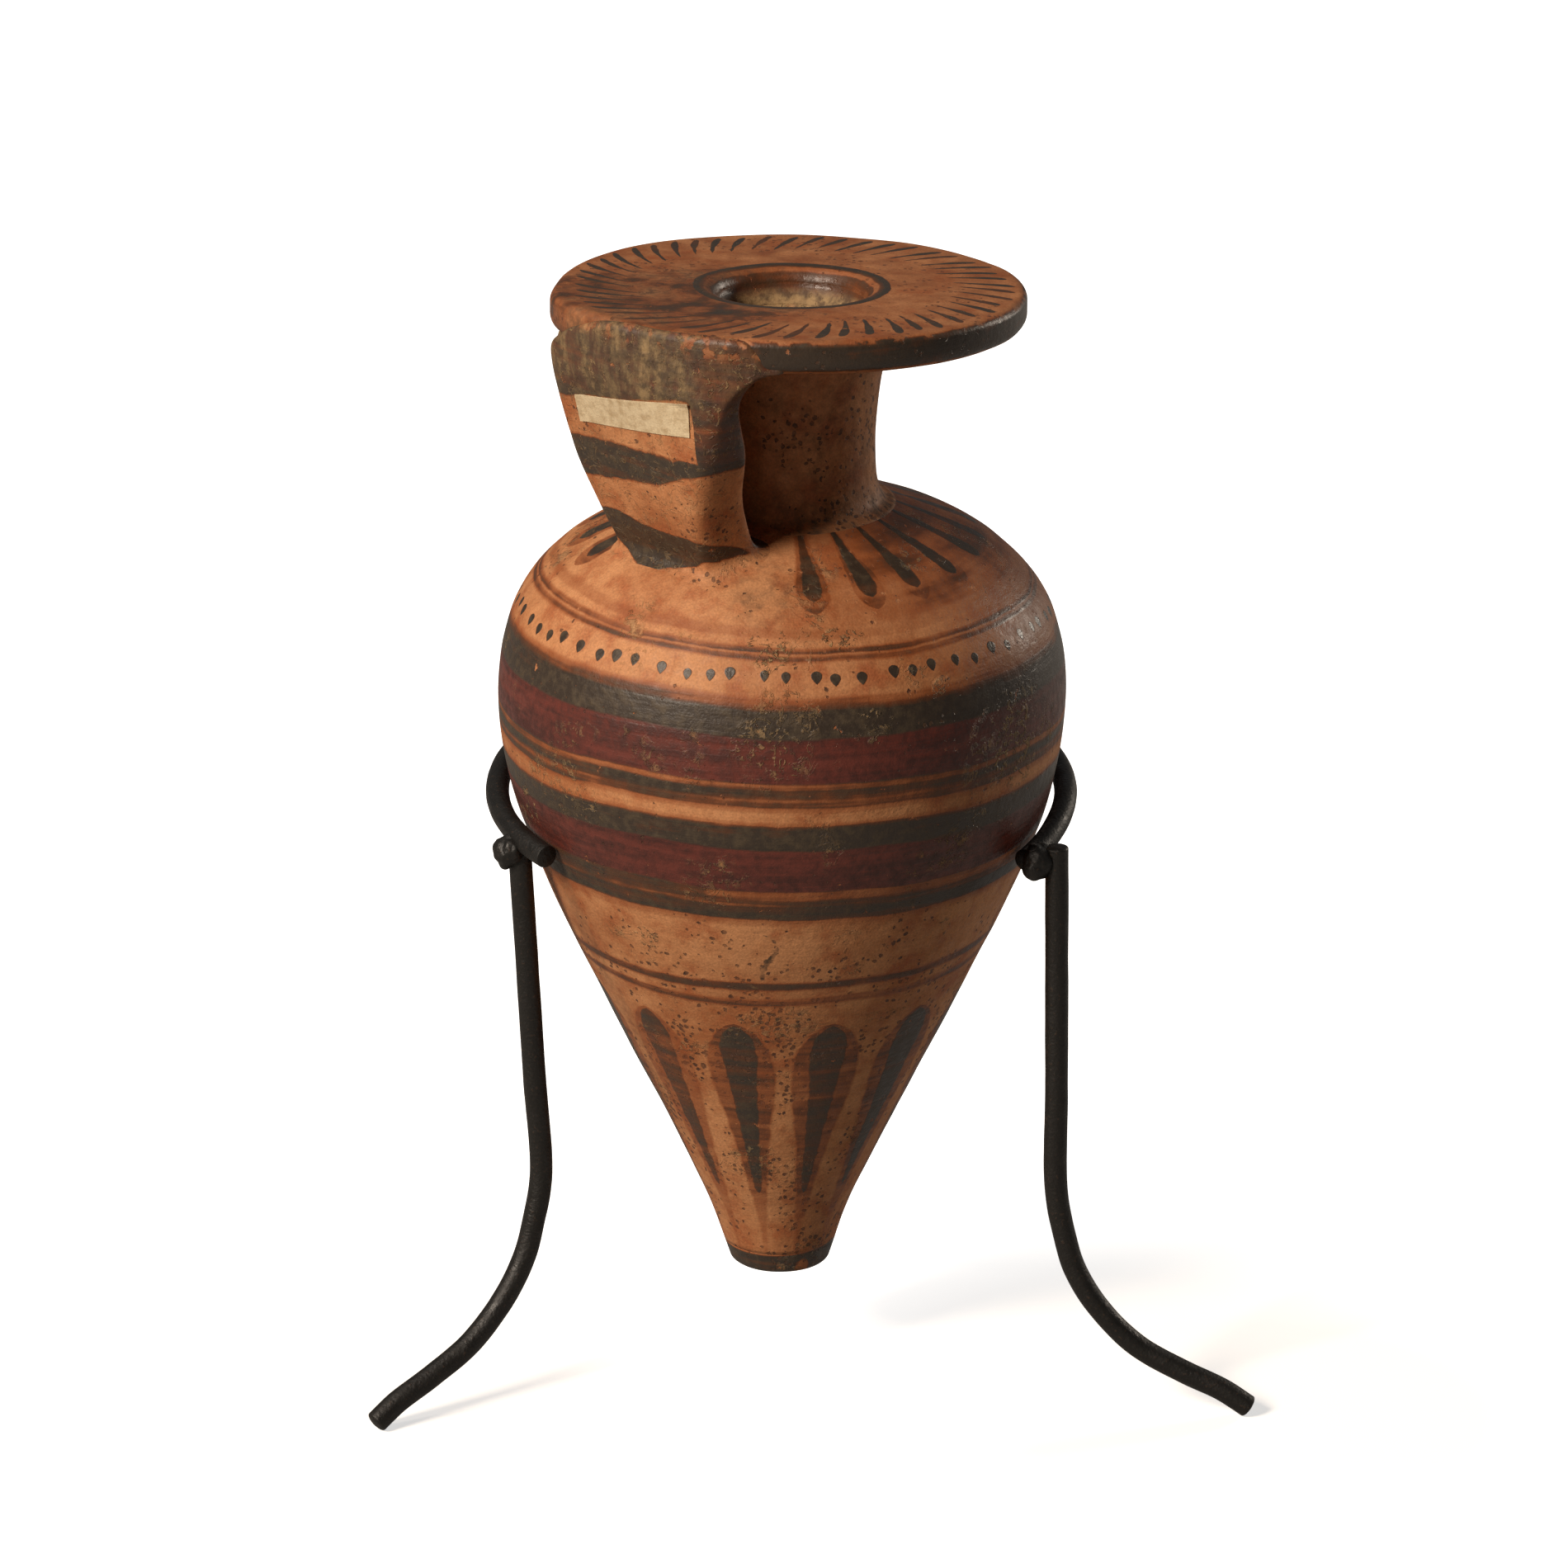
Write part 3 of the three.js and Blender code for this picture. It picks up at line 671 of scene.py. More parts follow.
def banded_paint(add, place):
    """Slip of the body: foot band, tongues, fine lines, broad bands and dots, with thin slip as painted
    shade on the right side.
    """
    radians = add("MULTIPLY", place.angle, math.radians(1))
    sway = add("SINE", radians)
    tilted = add("MULTIPLY", sway, add(RANGE, place.height, 50.0, 62.0, -0.4, 0.5))
    slow = add(NOISE, {"Vector": place.vector, "Scale": 0.05, "Detail": 1.0})
    quick = add(NOISE, {"Vector": place.vector, "Scale": 0.5, "Detail": 3.0})
    level = folded(add, "ADD", [
        place.height, tilted, add(RANGE, slow, 0.2, 0.8, -0.5, 0.5),
        add(RANGE, quick, 0.2, 0.8, -0.07, 0.07),
    ])
    lower = bands(add, level, [
        (44.9, 0), (45.4, 0.46), (46, 0.42), (46.5, 0), (47.2, 0), (47.8, 0.54), (48.5, 0.52),
        (49.1, 0), (57.5, 0), (58.1, 0.2), (58.6, 0.32), (59.1, 0.78), (60.6, 0.74), (61.1, 0.48),
        (61.6, 0.6), (62.2, 0.46), (62.6, 0.38), (63.1, 0.4), (63.5, 0.7), (69.2, 0.75),
        (69.7, 0.9), (72.1, 0.8), (72.6, 0.5), (73, 0.22), (73.5, 0),
    ])
    upper = bands(add, level, [
        (74.3, 0), (74.8, 0.24), (75.1, 0.36), (75.4, 0.62), (75.8, 0.56), (76.2, 0.47),
        (76.6, 0.58), (77, 0.74), (77.5, 0.66), (77.9, 0.42), (78.3, 0.4), (78.7, 0.7),
        (84.3, 0.85), (84.8, 1), (87.5, 0.9), (88.4, 0.5), (89.2, 0.36), (89.9, 0), (93.2, 0),
        (93.7, 0.48), (94, 0.44), (94.2, 0.2), (94.4, 0.54), (94.7, 0.44), (95.1, 0), (95.5, 0),
        (95.9, 0.22), (96.4, 0.22), (97, 0),
    ])
    # Darker slip at the left, in the stripe under the lower maroon band
    grey_left = folded(add, "MULTIPLY", [
        add(RANGE, sway, -0.225, -0.292, 0.0, 0.62),
        add(RANGE, level, 61.0, 61.6, 0.0, 1.0),
        add(RANGE, level, 63.6, 63.2, 0.0, 1.0),
    ])
    maroon = bands(add, level, [
        (63.1, 0), (63.5, 1), (69.1, 1), (69.5, 0), (78.4, 0), (78.8, 1), (84.3, 1), (84.7, 0),
    ])
    hand = add(RANGE, quick, 0.2, 0.8, -0.22, 0.22)
    ragged = add(NOISE, {"Vector": place.vector, "Scale": 0.5, "Detail": 4.0})
    foot = add(RANGE, level, 3.4, 2.8, 0.0, 0.85)
    bitten = patch(add, place, ragged, 26, 0.5, 1.2, 1.6)
    foot = add("MULTIPLY", foot, add(RANGE, bitten, 0.0, 1.0, 1.0, 0.1))
    # Thin brown slip smeared between the tongues at the right, laid on more thickly there as painted
    # shade on the right side
    smear = folded(add, "MULTIPLY", [
        add(RANGE, sway, 0.15, 0.65, 0.0, 0.45),
        add(RANGE, level, 94.8, 97.5, 0.0, 1.0),
        add(RANGE, slow, 0.35, 0.6, 0.65, 1.15),
    ])
    # Painted shade: a paler wash of the same slip under the drops on the right side
    browned = folded(add, "MULTIPLY", [
        add(RANGE, sway, 0.45, 0.85, 0.0, 0.3),
        add(RANGE, level, 87.5, 90.0, 0.0, 1.0),
    ])
    # The slip also holds the painted shade on the right side
    slip = folded(add, "MAXIMUM", [
        lower, upper, foot, grey_left, smear, browned, cone_tongues(add, place, hand),
        shoulder_tongues(add, place, hand), drops(add, place, radians),
    ])

    dirty = folded(add, "MAXIMUM", [
        patch(add, place, ragged, *spot) for spot in (
            (-3, 94.5, 3.5, 2.5), (14, 95.5, 3.2, 1.2), (18, 85.5, 3.6, 2.4), (1, 81, 2.6, 2),
            (35, 89, 2, 1.5), (18, 50.5, 2.4, 1), (-34, 54, 2.2, 2), (42, 54.5, 1.4, 1.6),
            (54, 79, 6, 8), (-66, 68, 2.5, 3),
        )
    ])
    scattered = add(NOISE, {"Vector": place.vector, "Scale": 0.1, "Detail": 2.0})
    dirty = add("MAXIMUM", dirty, add(RANGE, scattered, 0.56, 0.64, 0.0, 0.6))
    flakes = add(NOISE, {"Vector": place.vector, "Scale": 0.5, "Detail": 6.0, "Roughness": 0.7})
    flakes = add(RANGE, flakes, 0.56, 0.61, 0.0, 0.85)
    crust = add("MULTIPLY", add("MAXIMUM", rootlets(add, place), flakes), dirty)
    track = root_track(add, place, ragged, [
        (48.5, -4.6), (50.2, -4.9), (51.5, -3.9), (52.5, -3.2), (53.6, -1.8), (54.5, -0.8),
        (55.8, -1.8), (56.6, -3.9), (57, -6),
    ])
    pitted = add(RANGE, place.height, 60.0, 48.0, 0.4, 1.15)
    smeared = folded(add, "MULTIPLY", [
        patch(add, place, ragged, -6, 99.5, 5, 3.5), add(RANGE, ragged, 0.4, 0.6, 0.0, 0.5),
    ])
    smoky = folded(add, "MULTIPLY", [
        patch(add, place, ragged, -60, 42, 3, 26), add(RANGE, ragged, 0.35, 0.65, 0.1, 0.45),
    ])
    return {
        "Slip": slip, "Maroon": maroon, "Crust": crust, "Pitted": pitted,
        "Dusty": add(RANGE, sway, 0.35, 0.8, 1.0, 0.15),
        "Grimy": folded(add, "MAXIMUM", [smeared, smoky, track]),
    }


def tongue(add, away, border, core, chances, thin_slip):
    """Slip of one tongue: a border of thin slip round a dark core."""
    rim = inside(add, border, away, 0.55)
    thin = add("MULTIPLY", rim, thin_slip)
    dark = add("MULTIPLY", inside(add, core, away, 0.7), add(RANGE, chances["Y"], 0.0, 1.0, 0.62, 0.9))
    return add("MAXIMUM", thin, dark)


def cone_tongues(add, place, hand):
    """Long tongues that rise from the foot to under the fine lines."""
    turned, chances = strokes_round(add, place.angle, 12, 16, 0.8)
    away = add("ADD", millimetres(add, turned, place.radius), hand)
    border = drawn_line(add, place.height, [
        (3, 0.45), (10, 1), (15, 1.6), (20, 2.3), (25, 3.2), (30, 4.2), (34, 4.7), (37, 4.5),
        (39, 3.7), (40.4, 2.7), (41.3, 1.6), (41.8, 0.4), (42.1, -1), (43, -6),
    ])
    core = drawn_line(add, place.height, [
        (12, -4), (12.8, -0.4), (13.6, 0.7), (15, 1), (18, 1.2), (22, 1.55), (28, 2), (34, 2.6),
        (37.5, 2.9), (39.4, 2.5), (40.6, 1.8), (41.3, 0.8), (41.7, -0.6), (42.6, -5),
    ])
    faint = add(RANGE, place.height, 3.0, 14.0, 0.45, 1.0)
    painted = tongue(add, away, border, core, chances, 0.43)
    # The tongue left of the strap's side is a little more worn
    from_worn = millimetres(add, add("ADD", place.angle, 44.0), 180 / math.pi)
    worn = add(RANGE, from_worn, 12.0, 15.0, 0.8, 1.0)
    return folded(add, "MULTIPLY", [painted, faint, worn])


def shoulder_tongues(add, place, hand):
    """Short tongues round the neck, with plain clay left in front of the strap."""
    turned, chances = strokes_round(add, place.angle, 22, 9, 0.8)
    away = add("ADD", millimetres(add, turned, place.radius), hand)
    border = drawn_line(add, place.radius, [
        (13, 0.9), (19, 1.6), (23.5, 2.4), (25.5, 2.4), (26.6, 1.9), (27.3, 1.1), (27.7, 0),
        (28.6, -3),
    ])
    core = drawn_line(add, place.radius, [
        (13, 0.7), (18, 1.1), (22.5, 1.6), (24.5, 1.65), (25.3, 1.4), (25.8, 0.8), (26.1, 0),
        (26.7, -3),
    ])
    painted = tongue(add, away, border, core, chances, 0.42)
    on_top = add(RANGE, place.height, 94.0, 95.0, 0.0, 1.0)
    from_strap = millimetres(add, add("ADD", place.angle, 33.0), 180 / math.pi)
    clear = add(RANGE, from_strap, 33.0, 34.0, 0.0, 1.0)
    return folded(add, "MULTIPLY", [painted, on_top, clear])


def drops(add, place, radians):
    """Row of small drops set by hand, each with its point down."""
    turned, chances = strokes_round(add, place.angle, 64, 1, 1.1)
    away = millimetres(add, turned, place.radius)
    row = add("COSINE", add("ADD", radians, 0.35))
    level = folded(add, "ADD", [
        place.height, -91.0, add("MULTIPLY", row, -0.8),
        add(RANGE, chances["Z"], 0.0, 1.0, -0.35, 0.35),
    ])
    half = drawn_line(add, level, [
        (-1.3, -2), (-0.88, -0.15), (-0.62, 0.25), (-0.22, 0.62), (0.12, 0.78), (0.4, 0.72),
        (0.62, 0.42), (0.76, -0.3), (1.2, -2),
    ])
    half = add("ADD", half, add(RANGE, chances["Y"], 0.0, 1.0, -0.14, 0.1))
    return add("MULTIPLY", inside(add, half, away, 0.2), 0.95)


def banded_clay(finish):
    return fired_clay("Burnished clay with slip bands", finish, AXIS, banded_paint)


def neck_paint(add, place):
    """Plain clay neck, stained at its root, crusted inside and darkened all over as painted shade."""
    stain = add(NOISE, {"Vector": place.vector, "Scale": 0.35, "Detail": 4.0})
    low = add(RANGE, place.height, 110.5, 105.0, 0.0, 1.0)
    low = add("MULTIPLY", low, add(RANGE, stain, 0.35, 0.6, 0.4, 0.95))
    bore = add(RANGE, place.radius, 9.6, 9.0, 0.0, 1.0)
    caked = add("MULTIPLY", bore, add(RANGE, stain, 0.35, 0.55, 0.3, 0.9))
    # Painted shade: the whole neck darkened, standing in for the shade under the strap and the disc
    film = add(RANGE, stain, 0.35, 0.62, 0.15, 0.5)
    grimy = add("MAXIMUM", low, film)
    return {"Slip": 0.0, "Crust": caked, "Pitted": 1.1, "Grimy": grimy}


def neck_clay(finish):
    return fired_clay("Burnished clay of the neck", finish, AXIS, neck_paint)


def disc_paint(add, place):
    """Ring round the mouth, slanted strokes round the edge and a dark rim."""
    quick = add(NOISE, {"Vector": place.vector, "Scale": 0.5, "Detail": 3.0})
    rubbed = add(NOISE, {"Vector": place.vector, "Scale": 0.25, "Detail": 5.0})
    hand = add(RANGE, quick, 0.2, 0.8, -0.15, 0.15)
    rise = Matrix.Rotation(math.radians(-FRONT_AZIMUTH), 3, "Z") @ DISC_RISE
    slope = add("VECTOR DOT_PRODUCT", place.vector, tuple(rise)).outputs["Value"]
    top, bottom = DISC_TOP / MM, DISC_BOTTOM / MM
    level = add("SUBTRACT", place.height, slope)
    on_top = add(RANGE, level, top - 1.2, top - 0.6, 0.0, 1.0)

    # Strokes lean to the right going out, and are fat drops at the front and needles at the right
    radians = add("MULTIPLY", place.angle, math.radians(1))
    front = add("COSINE", radians)
    inward = add("SUBTRACT", 24.5, place.radius)
    lean = add(RANGE, add("SINE", radians), -0.87, 0.34, 1.7, 0.8)
    slanted = add("SUBTRACT", place.angle, add("MULTIPLY", inward, lean))
    turned, chances = strokes_round(add, slanted, 50, 2, 0.9)
    away = add("ADD", millimetres(add, turned, place.radius), hand)
    longer = add(RANGE, chances["Z"], 0.0, 1.0, -0.5, 0.7)
    half = drawn_line(add, add("ADD", place.radius, longer), [
        (19.6, -1), (20.8, 0.15), (23, 0.34), (25.4, 0.62), (27, 0.62), (27.7, 0.4), (28, 0),
        (28.5, -2),
    ])
    half = add("ADD", half, add(RANGE, front, -1.0, 1.0, 0.05, 0.12))
    strokes = folded(add, "MULTIPLY", [
        inside(add, half, away, 0.22), on_top, add(RANGE, chances["Y"], 0.0, 1.0, 0.62, 0.95),
    ])

    across = add("ADD", place.radius, hand)
    ring = bands(add, across, [
        (9, 0.5), (10.2, 0.55), (10.5, 0.3), (10.9, 0.3), (11.3, 0.55), (11.7, 0.66), (11.9, 0.95),
        (12.4, 0.9), (12.8, 0),
    ])
    edge = add(RANGE, across, 29.0, 29.5, 0.0, 1.0)
    shown = add(RANGE, level, bottom + 0.2, bottom + 0.7, 0.0, 1.0)
    from_left = millimetres(add, add("ADD", place.angle, 75.0), 180 / math.pi)
    rubbed_off = add(RANGE, from_left, 45.0, 15.0, 0.0, 0.58)
    side = add(RANGE, rubbed, 0.34, 0.62, 0.62, 0.9)
    side = add("SUBTRACT", side, rubbed_off, use_clamp=True)
    corner = folded(add, "MULTIPLY", [
        add(RANGE, level, top - 0.9, top - 0.3, 0.0, 0.7),
        add(RANGE, quick, 0.44, 0.56, 0.0, 1.0),
    ])
    side = add("SUBTRACT", side, corner, use_clamp=True)
    side = folded(add, "MULTIPLY", [side, edge, shown])
    stain = patch(add, place, quick, -62, top, 22, 14)
    stained = add("MULTIPLY", stain, add(RANGE, rubbed, 0.36, 0.66, 0.14, 0.6))
    low = add(RANGE, level, top - 2.4, top - 3.6, 0.0, 1.0)
    bore = add("MULTIPLY", low, add(RANGE, place.radius, 11.0, 10.0, 0.0, 0.85))
    film = add(RANGE, rubbed, 0.36, 0.66, 0.05, 0.3)
    washed = add(RANGE, rubbed, 0.34, 0.62, 0.12, 0.28)
    grimy = add("MULTIPLY", stain, add(RANGE, rubbed, 0.62, 0.4, 0.36, 0.76))
    return {
        "Slip": folded(add, "MAXIMUM", [strokes, ring, side, stained, washed]),
        "Crust": bore, "Dusty": add("MULTIPLY", on_top, 0.55), "Pitted": 0.7,
        "Grimy": add("MAXIMUM", film, grimy),
    }


def disc_clay(finish):
    centre = AXIS + DISC_SHIFT
    return fired_clay("Burnished clay of the mouth disc", finish, centre, disc_paint)


def strap_paint(add, place):
    """Broad bands across the strap, with edges that slope as the brush went."""
    turn = math.radians(FRONT_AZIMUTH)
    rightwards = (math.cos(turn), -math.sin(turn), 0)
    across = add("VECTOR DOT_PRODUCT", place.vector, rightwards).outputs["Value"]
    quick = add(NOISE, {"Vector": place.vector, "Scale": 0.5, "Detail": 3.0})
    height = add("ADD", place.height, add(RANGE, quick, 0.2, 0.8, -0.25, 0.25))
    top_zone = add("SUBTRACT", height, drawn_line(add, across, [
        (-16, 122.2), (-13.6, 121.9), (-11, 121.8), (-8, 122.6), (0, 123.8), (6, 124.8),
        (10, 125.4), (11.2, 118), (12, 116.5), (16, 116.5),
    ]))
    middle_top = add("SUBTRACT", drawn_line(add, across, [
        (-16, 116.8), (-12, 117), (-4, 117.6), (2, 117.5), (12, 117.8), (16, 118),
    ]), height)
    middle_bottom = add("SUBTRACT", height, drawn_line(add, across, [
        (-16, 111.3), (-9, 111.5), (-2, 112.1), (2, 112.5), (5, 113.2), (8, 114.5), (11, 115.5),
        (14, 116.3), (16, 116.6),
    ]))
    root_top = add("SUBTRACT", drawn_line(add, across, [
        (-16, 107.6), (-8.1, 107.5), (-5, 107.5), (-1, 106.5), (2, 106.2), (8, 106.1),
        (9.2, 105.6), (10.2, 103.4), (16, 101),
    ]), height)
    root_bottom = add("SUBTRACT", height, drawn_line(add, across, [
        (-12, 103.2), (-8, 102.5), (-6, 101.5), (-3, 100.3), (0, 100.2), (3, 100.9), (6, 101.7),
        (8, 102.5), (11, 103.2), (13, 104.3),
    ]))
    # Soft edge of the bands, in millimetres
    fringe = 0.5
    wavering = add(RANGE, quick, 0.2, 0.8, -0.9, 0.9)
    right_side = add(RANGE, add("ADD", across, wavering), 9.9, 12.5, 0.0, 1.0)
    top_slip = add(RANGE, right_side, 0.0, 1.0, 0.76, 0.6)
    dark = folded(add, "MAXIMUM", [
        add("MULTIPLY", add(RANGE, top_zone, 0.0, fringe, 0.0, 1.0), top_slip),
        add("MULTIPLY", add(RANGE, middle_top, 0.0, fringe, 0.0, 0.82),
            add(RANGE, middle_bottom, 0.0, fringe, 0.0, 1.0)),
        add("MULTIPLY", add(RANGE, root_top, 0.0, fringe, 0.0, 0.84),
            add(RANGE, root_bottom, 0.0, 0.3, 0.0, 1.0)),
    ])
    # No paint on the back, which faces the neck
    normal = add("ShaderNodeNewGeometry").outputs["Normal"]
    facing = add("VECTOR DOT_PRODUCT", normal, (0, 1, 0)).outputs["Value"]
    dark = add("MULTIPLY", dark, add(RANGE, facing, 0.35, 0.7, 1.0, 0.0))
    ridge = add("MULTIPLY", add(RANGE, place.height, 130.9, 132.6, 0.0, 0.4),
                add(RANGE, quick, 0.52, 0.6, 0.0, 1.0))
    dark = add("SUBTRACT", dark, ridge, use_clamp=True)
    rubbed = add(NOISE, {"Vector": place.vector, "Scale": 0.22, "Detail": 5.0})
    high = add(RANGE, place.height, 121.0, 126.0, 0.0, 1.0)
    streaks = add(NOISE, {
        "Vector": add("VECTOR MULTIPLY", place.vector, (1, 1, 0.3)),
        "Scale": 0.45, "Detail": 5.0, "Roughness": 0.65,
    })
    caked = folded(add, "MULTIPLY", [
        high, add(RANGE, rubbed, 0.3, 0.66, 0.45, 0.8),
        add(RANGE, streaks, 0.4, 0.62, 0.2, 1.0),
        add(RANGE, right_side, 0.0, 1.0, 1.0, 0.3),
    ])
    roots = add("MULTIPLY", rootlets(add, place), add(RANGE, high, 0.0, 1.0, 0.35, 0.8))
    red = folded(add, "MULTIPLY", [
        right_side, add(RANGE, top_zone, 0.0, 1.5, 0.0, 1.0),
        add(RANGE, rubbed, 0.4, 0.65, 0.1, 0.4),
    ])
    drawn_red = folded(add, "MULTIPLY", [high, add(RANGE, streaks, 0.54, 0.42, 0.0, 0.4)])
    red = add("MAXIMUM", red, drawn_red)
    return {
        "Slip": dark, "Maroon": red, "Crust": add("MAXIMUM", caked, roots),
        "Pitted": 0.6, "Grimy": add(RANGE, rubbed, 0.5, 0.75, 0.0, 0.25),
        "Dusty": add(RANGE, right_side, 0.0, 1.0, 1.0, 0.15),
    }


def strap_clay(finish):
    return fired_clay("Burnished clay of the strap", finish, AXIS, strap_paint)


def aged_paper(finish):
    """Rag paper, yellowed by glue and light; matt, with faint fibres and brown foxing.

    Real fibres are too fine to show, so they are drawn coarser.
    """
    material = bpy.data.materials.new("Aged rag paper")
    add = emptied(material)
    place = measured_place(add, AXIS)
    foxed = add(NOISE, {"Vector": place.vector, "Scale": 0.9, "Detail": 5.0})
    fibres = add(NOISE, {"Vector": place.vector, "Scale": 4.0, "Detail": 3.0})
    tone = add(RANGE, foxed, 0.42, 0.72, 0.0, 0.6)
    colour = add(MIX, tone, finish.paper, finish.foxing, data_type="RGBA")
    grey = add(RANGE, fibres, 0.3, 0.7, 0.86, 1.05)
    colour = add(MIX, 1.0, colour, grey, data_type="RGBA", blend_type="MULTIPLY")
    surfaced(add, colour, 0.85, 1.45, fibres, 0.06 * MM)
    return material


def brushed_black_paint(finish):
    """Oil paint brushed on iron rod: satin, nearly black, rubbed brownish in spots."""
    name = "Brushed black paint on iron"
    if name in bpy.data.materials:
        return bpy.data.materials[name]
    material = bpy.data.materials.new(name)
    add = emptied(material)
    place = measured_place(add, AXIS)
    soft = add(NOISE, {"Vector": place.vector, "Scale": 0.5, "Detail": 4.0})
    fine = add(NOISE, {"Vector": place.vector, "Scale": 2.2, "Detail": 4.0})
    rubbed = add(RANGE, fine, 0.6, 0.72, 0.0, 0.8)
    colour = add(MIX, rubbed, finish.paint, finish.paint_rubbed, data_type="RGBA")
    surfaced(add, colour, add(RANGE, soft, 0.3, 0.7, 0.4, 0.62), 1.5, fine, 0.12 * MM)
    return material


# ---------------------------------------------------------------- turned clay

def turned_clay_tree():
    """Turns an outline round the vessel's axis, leans it with the disc and adds hand-made lumps."""
    tree, add, given = piece_tree("Turned clay", {
        "Segments": "Int", "Lean from": "Float", "Lean height": "Float", "Rise": "Vector",
        "Shift": "Vector", "Axis": "Vector",
    })
    rows = add("GeometryNodeAttributeDomainSize", given["Mesh"]).outputs["Point Count"]
    columns = add("ADD", given["Segments"], 1)
    grid = add("GeometryNodeMeshGrid", {"Vertices X": columns, "Vertices Y": rows})
    index = add("GeometryNodeInputIndex")
    row = add("MODULO", index, rows)
    column = add("FLOOR", add("DIVIDE", index, rows))
    sampled = {"Geometry": given["Mesh"], "Value": add("GeometryNodeInputPosition"), "Index": row}
    outline = add("GeometryNodeSampleIndex", sampled, data_type="FLOAT_VECTOR")
    split = add(SPLIT_XYZ, outline).outputs
    share_round = add("DIVIDE", column, given["Segments"])
    turn = add("MULTIPLY", share_round, math.tau)
    place = add(
        JOIN_XYZ, add("MULTIPLY", split["X"], add("COSINE", turn)),
        add("MULTIPLY", split["X"], add("SINE", turn)), split["Z"],
    )
    turned = add("GeometryNodeSetPosition", {"Geometry": grid, "Position": place})
    joined = add("GeometryNodeMergeByDistance", {"Geometry": turned, "Distance": 1e-6})
    position = add("GeometryNodeInputPosition")
    level = add(SPLIT_XYZ, position).outputs["Z"]
    above = add("SUBTRACT", level, given["Lean from"])
    up_share = add("DIVIDE", above, given["Lean height"], use_clamp=True)
    share = add("POWER", up_share, 2.0)
    rise = add("VECTOR DOT_PRODUCT", position, given["Rise"]).outputs["Value"]
    leaning = add("VECTOR ADD", given["Shift"], add(JOIN_XYZ, 0.0, 0.0, rise))
    moved = add("VECTOR ADD", add("VECTOR SCALE", {"Vector": leaning, "Scale": share}), given["Axis"])
    close_tree(add, given, add("GeometryNodeSetPosition", {"Geometry": joined, "Offset": moved}))
    return tree


def turned_piece(name, outline, material, segments, lean_from=1.0, lean_height=1.0):
    """Turns a closed outline of radius and height into one clay piece.

    From lean_from up it leans more and more, until it leans as the disc does at lean_height above
    that. No piece reaches the 1 m that lean_from is by itself, so then the piece stands upright.
    """
    tree = bpy.data.node_groups.get("Turned clay") or turned_clay_tree()
    line = line_mesh(name, [(point[0], 0, point[1]) for point in outline])
    piece = grown(f"{name}_clay", line, tree, {
        "Segments": segments, "Lump size": 16 * MM, "Lump depth": 0.5 * MM,
        "Lean from": lean_from, "Lean height": lean_height, "Rise": DISC_RISE,
        "Shift": DISC_SHIFT, "Axis": AXIS, "Material": material,
    })
    fit_to(piece, "vessel", "terracotta", name)
    return piece


class ARYBALLOS_OT_body(bpy.types.Operator):
    """Thrown body with its hollow, the seat for the neck and the pointed cone"""

    bl_idname = "aryballos.body"
    bl_label = "Body"

    def execute(self, context):
        settings = context.scene.aryballos_vessel
        outer = body_outline(settings)
        wall = evenly(outer, 0.6 * MM)
        inner = []
        for before, point, after in zip(outer, outer[1:], outer[2:]):
            along = (after - before).normalized()
            shifted = Vector((point.x - along.y * BODY_WALL, point.y + along.x * BODY_WALL))
            high_enough = shifted.y > CAVITY_FLOOR
            if high_enough and (shifted.y < WIDEST_HEIGHT or shifted.x > BORE_RADIUS):
                inner.append(shifted)
        inner = evenly(inner, 2 * MM)
        outline = [
            Vector((0, FOOT_HEIGHT)), *wall, Vector((SEAT_RADIUS, SHOULDER_TOP)),
            Vector((SEAT_RADIUS, NECK_SEAT)), Vector((BORE_RADIUS, NECK_SEAT)),
            Vector((BORE_RADIUS, inner[-1].y)), *inner[::-1], Vector((0, CAVITY_FLOOR)),
        ]
        clay = banded_clay(context.scene.aryballos_finish)
        turned_piece("vessel_body", outline, clay, settings.segments)
        return {"FINISHED"}


class ARYBALLOS_OT_foot(bpy.types.Operator):
    """Small turned pad under the cone"""

    bl_idname = "aryballos.foot"
    bl_label = "Foot"

    def execute(self, context):
        corner = 1.0 * MM
        side = sloped([(6.75 * MM, 1.3 * MM), (FOOT_RADIUS, FOOT_HEIGHT)], 0.3 * MM)
        under = sloped([(0, 0), (FOOT_BASE_RADIUS, 0)], 0.6 * MM)
        roll = arc(FOOT_BASE_RADIUS + 0.2 * MM, corner, corner, -80, -5)
        hidden = [(FOOT_RADIUS - 0.3 * MM, FOOT_HEIGHT + 0.4 * MM), (0, FOOT_HEIGHT + 0.4 * MM)]
        outline = [*under, *roll, *side, *(Vector(point) for point in hidden)]
        turned_piece(
            "vessel_foot", outline, banded_clay(context.scene.aryballos_finish),
            context.scene.aryballos_vessel.segments // 2,
        )
        return {"FINISHED"}


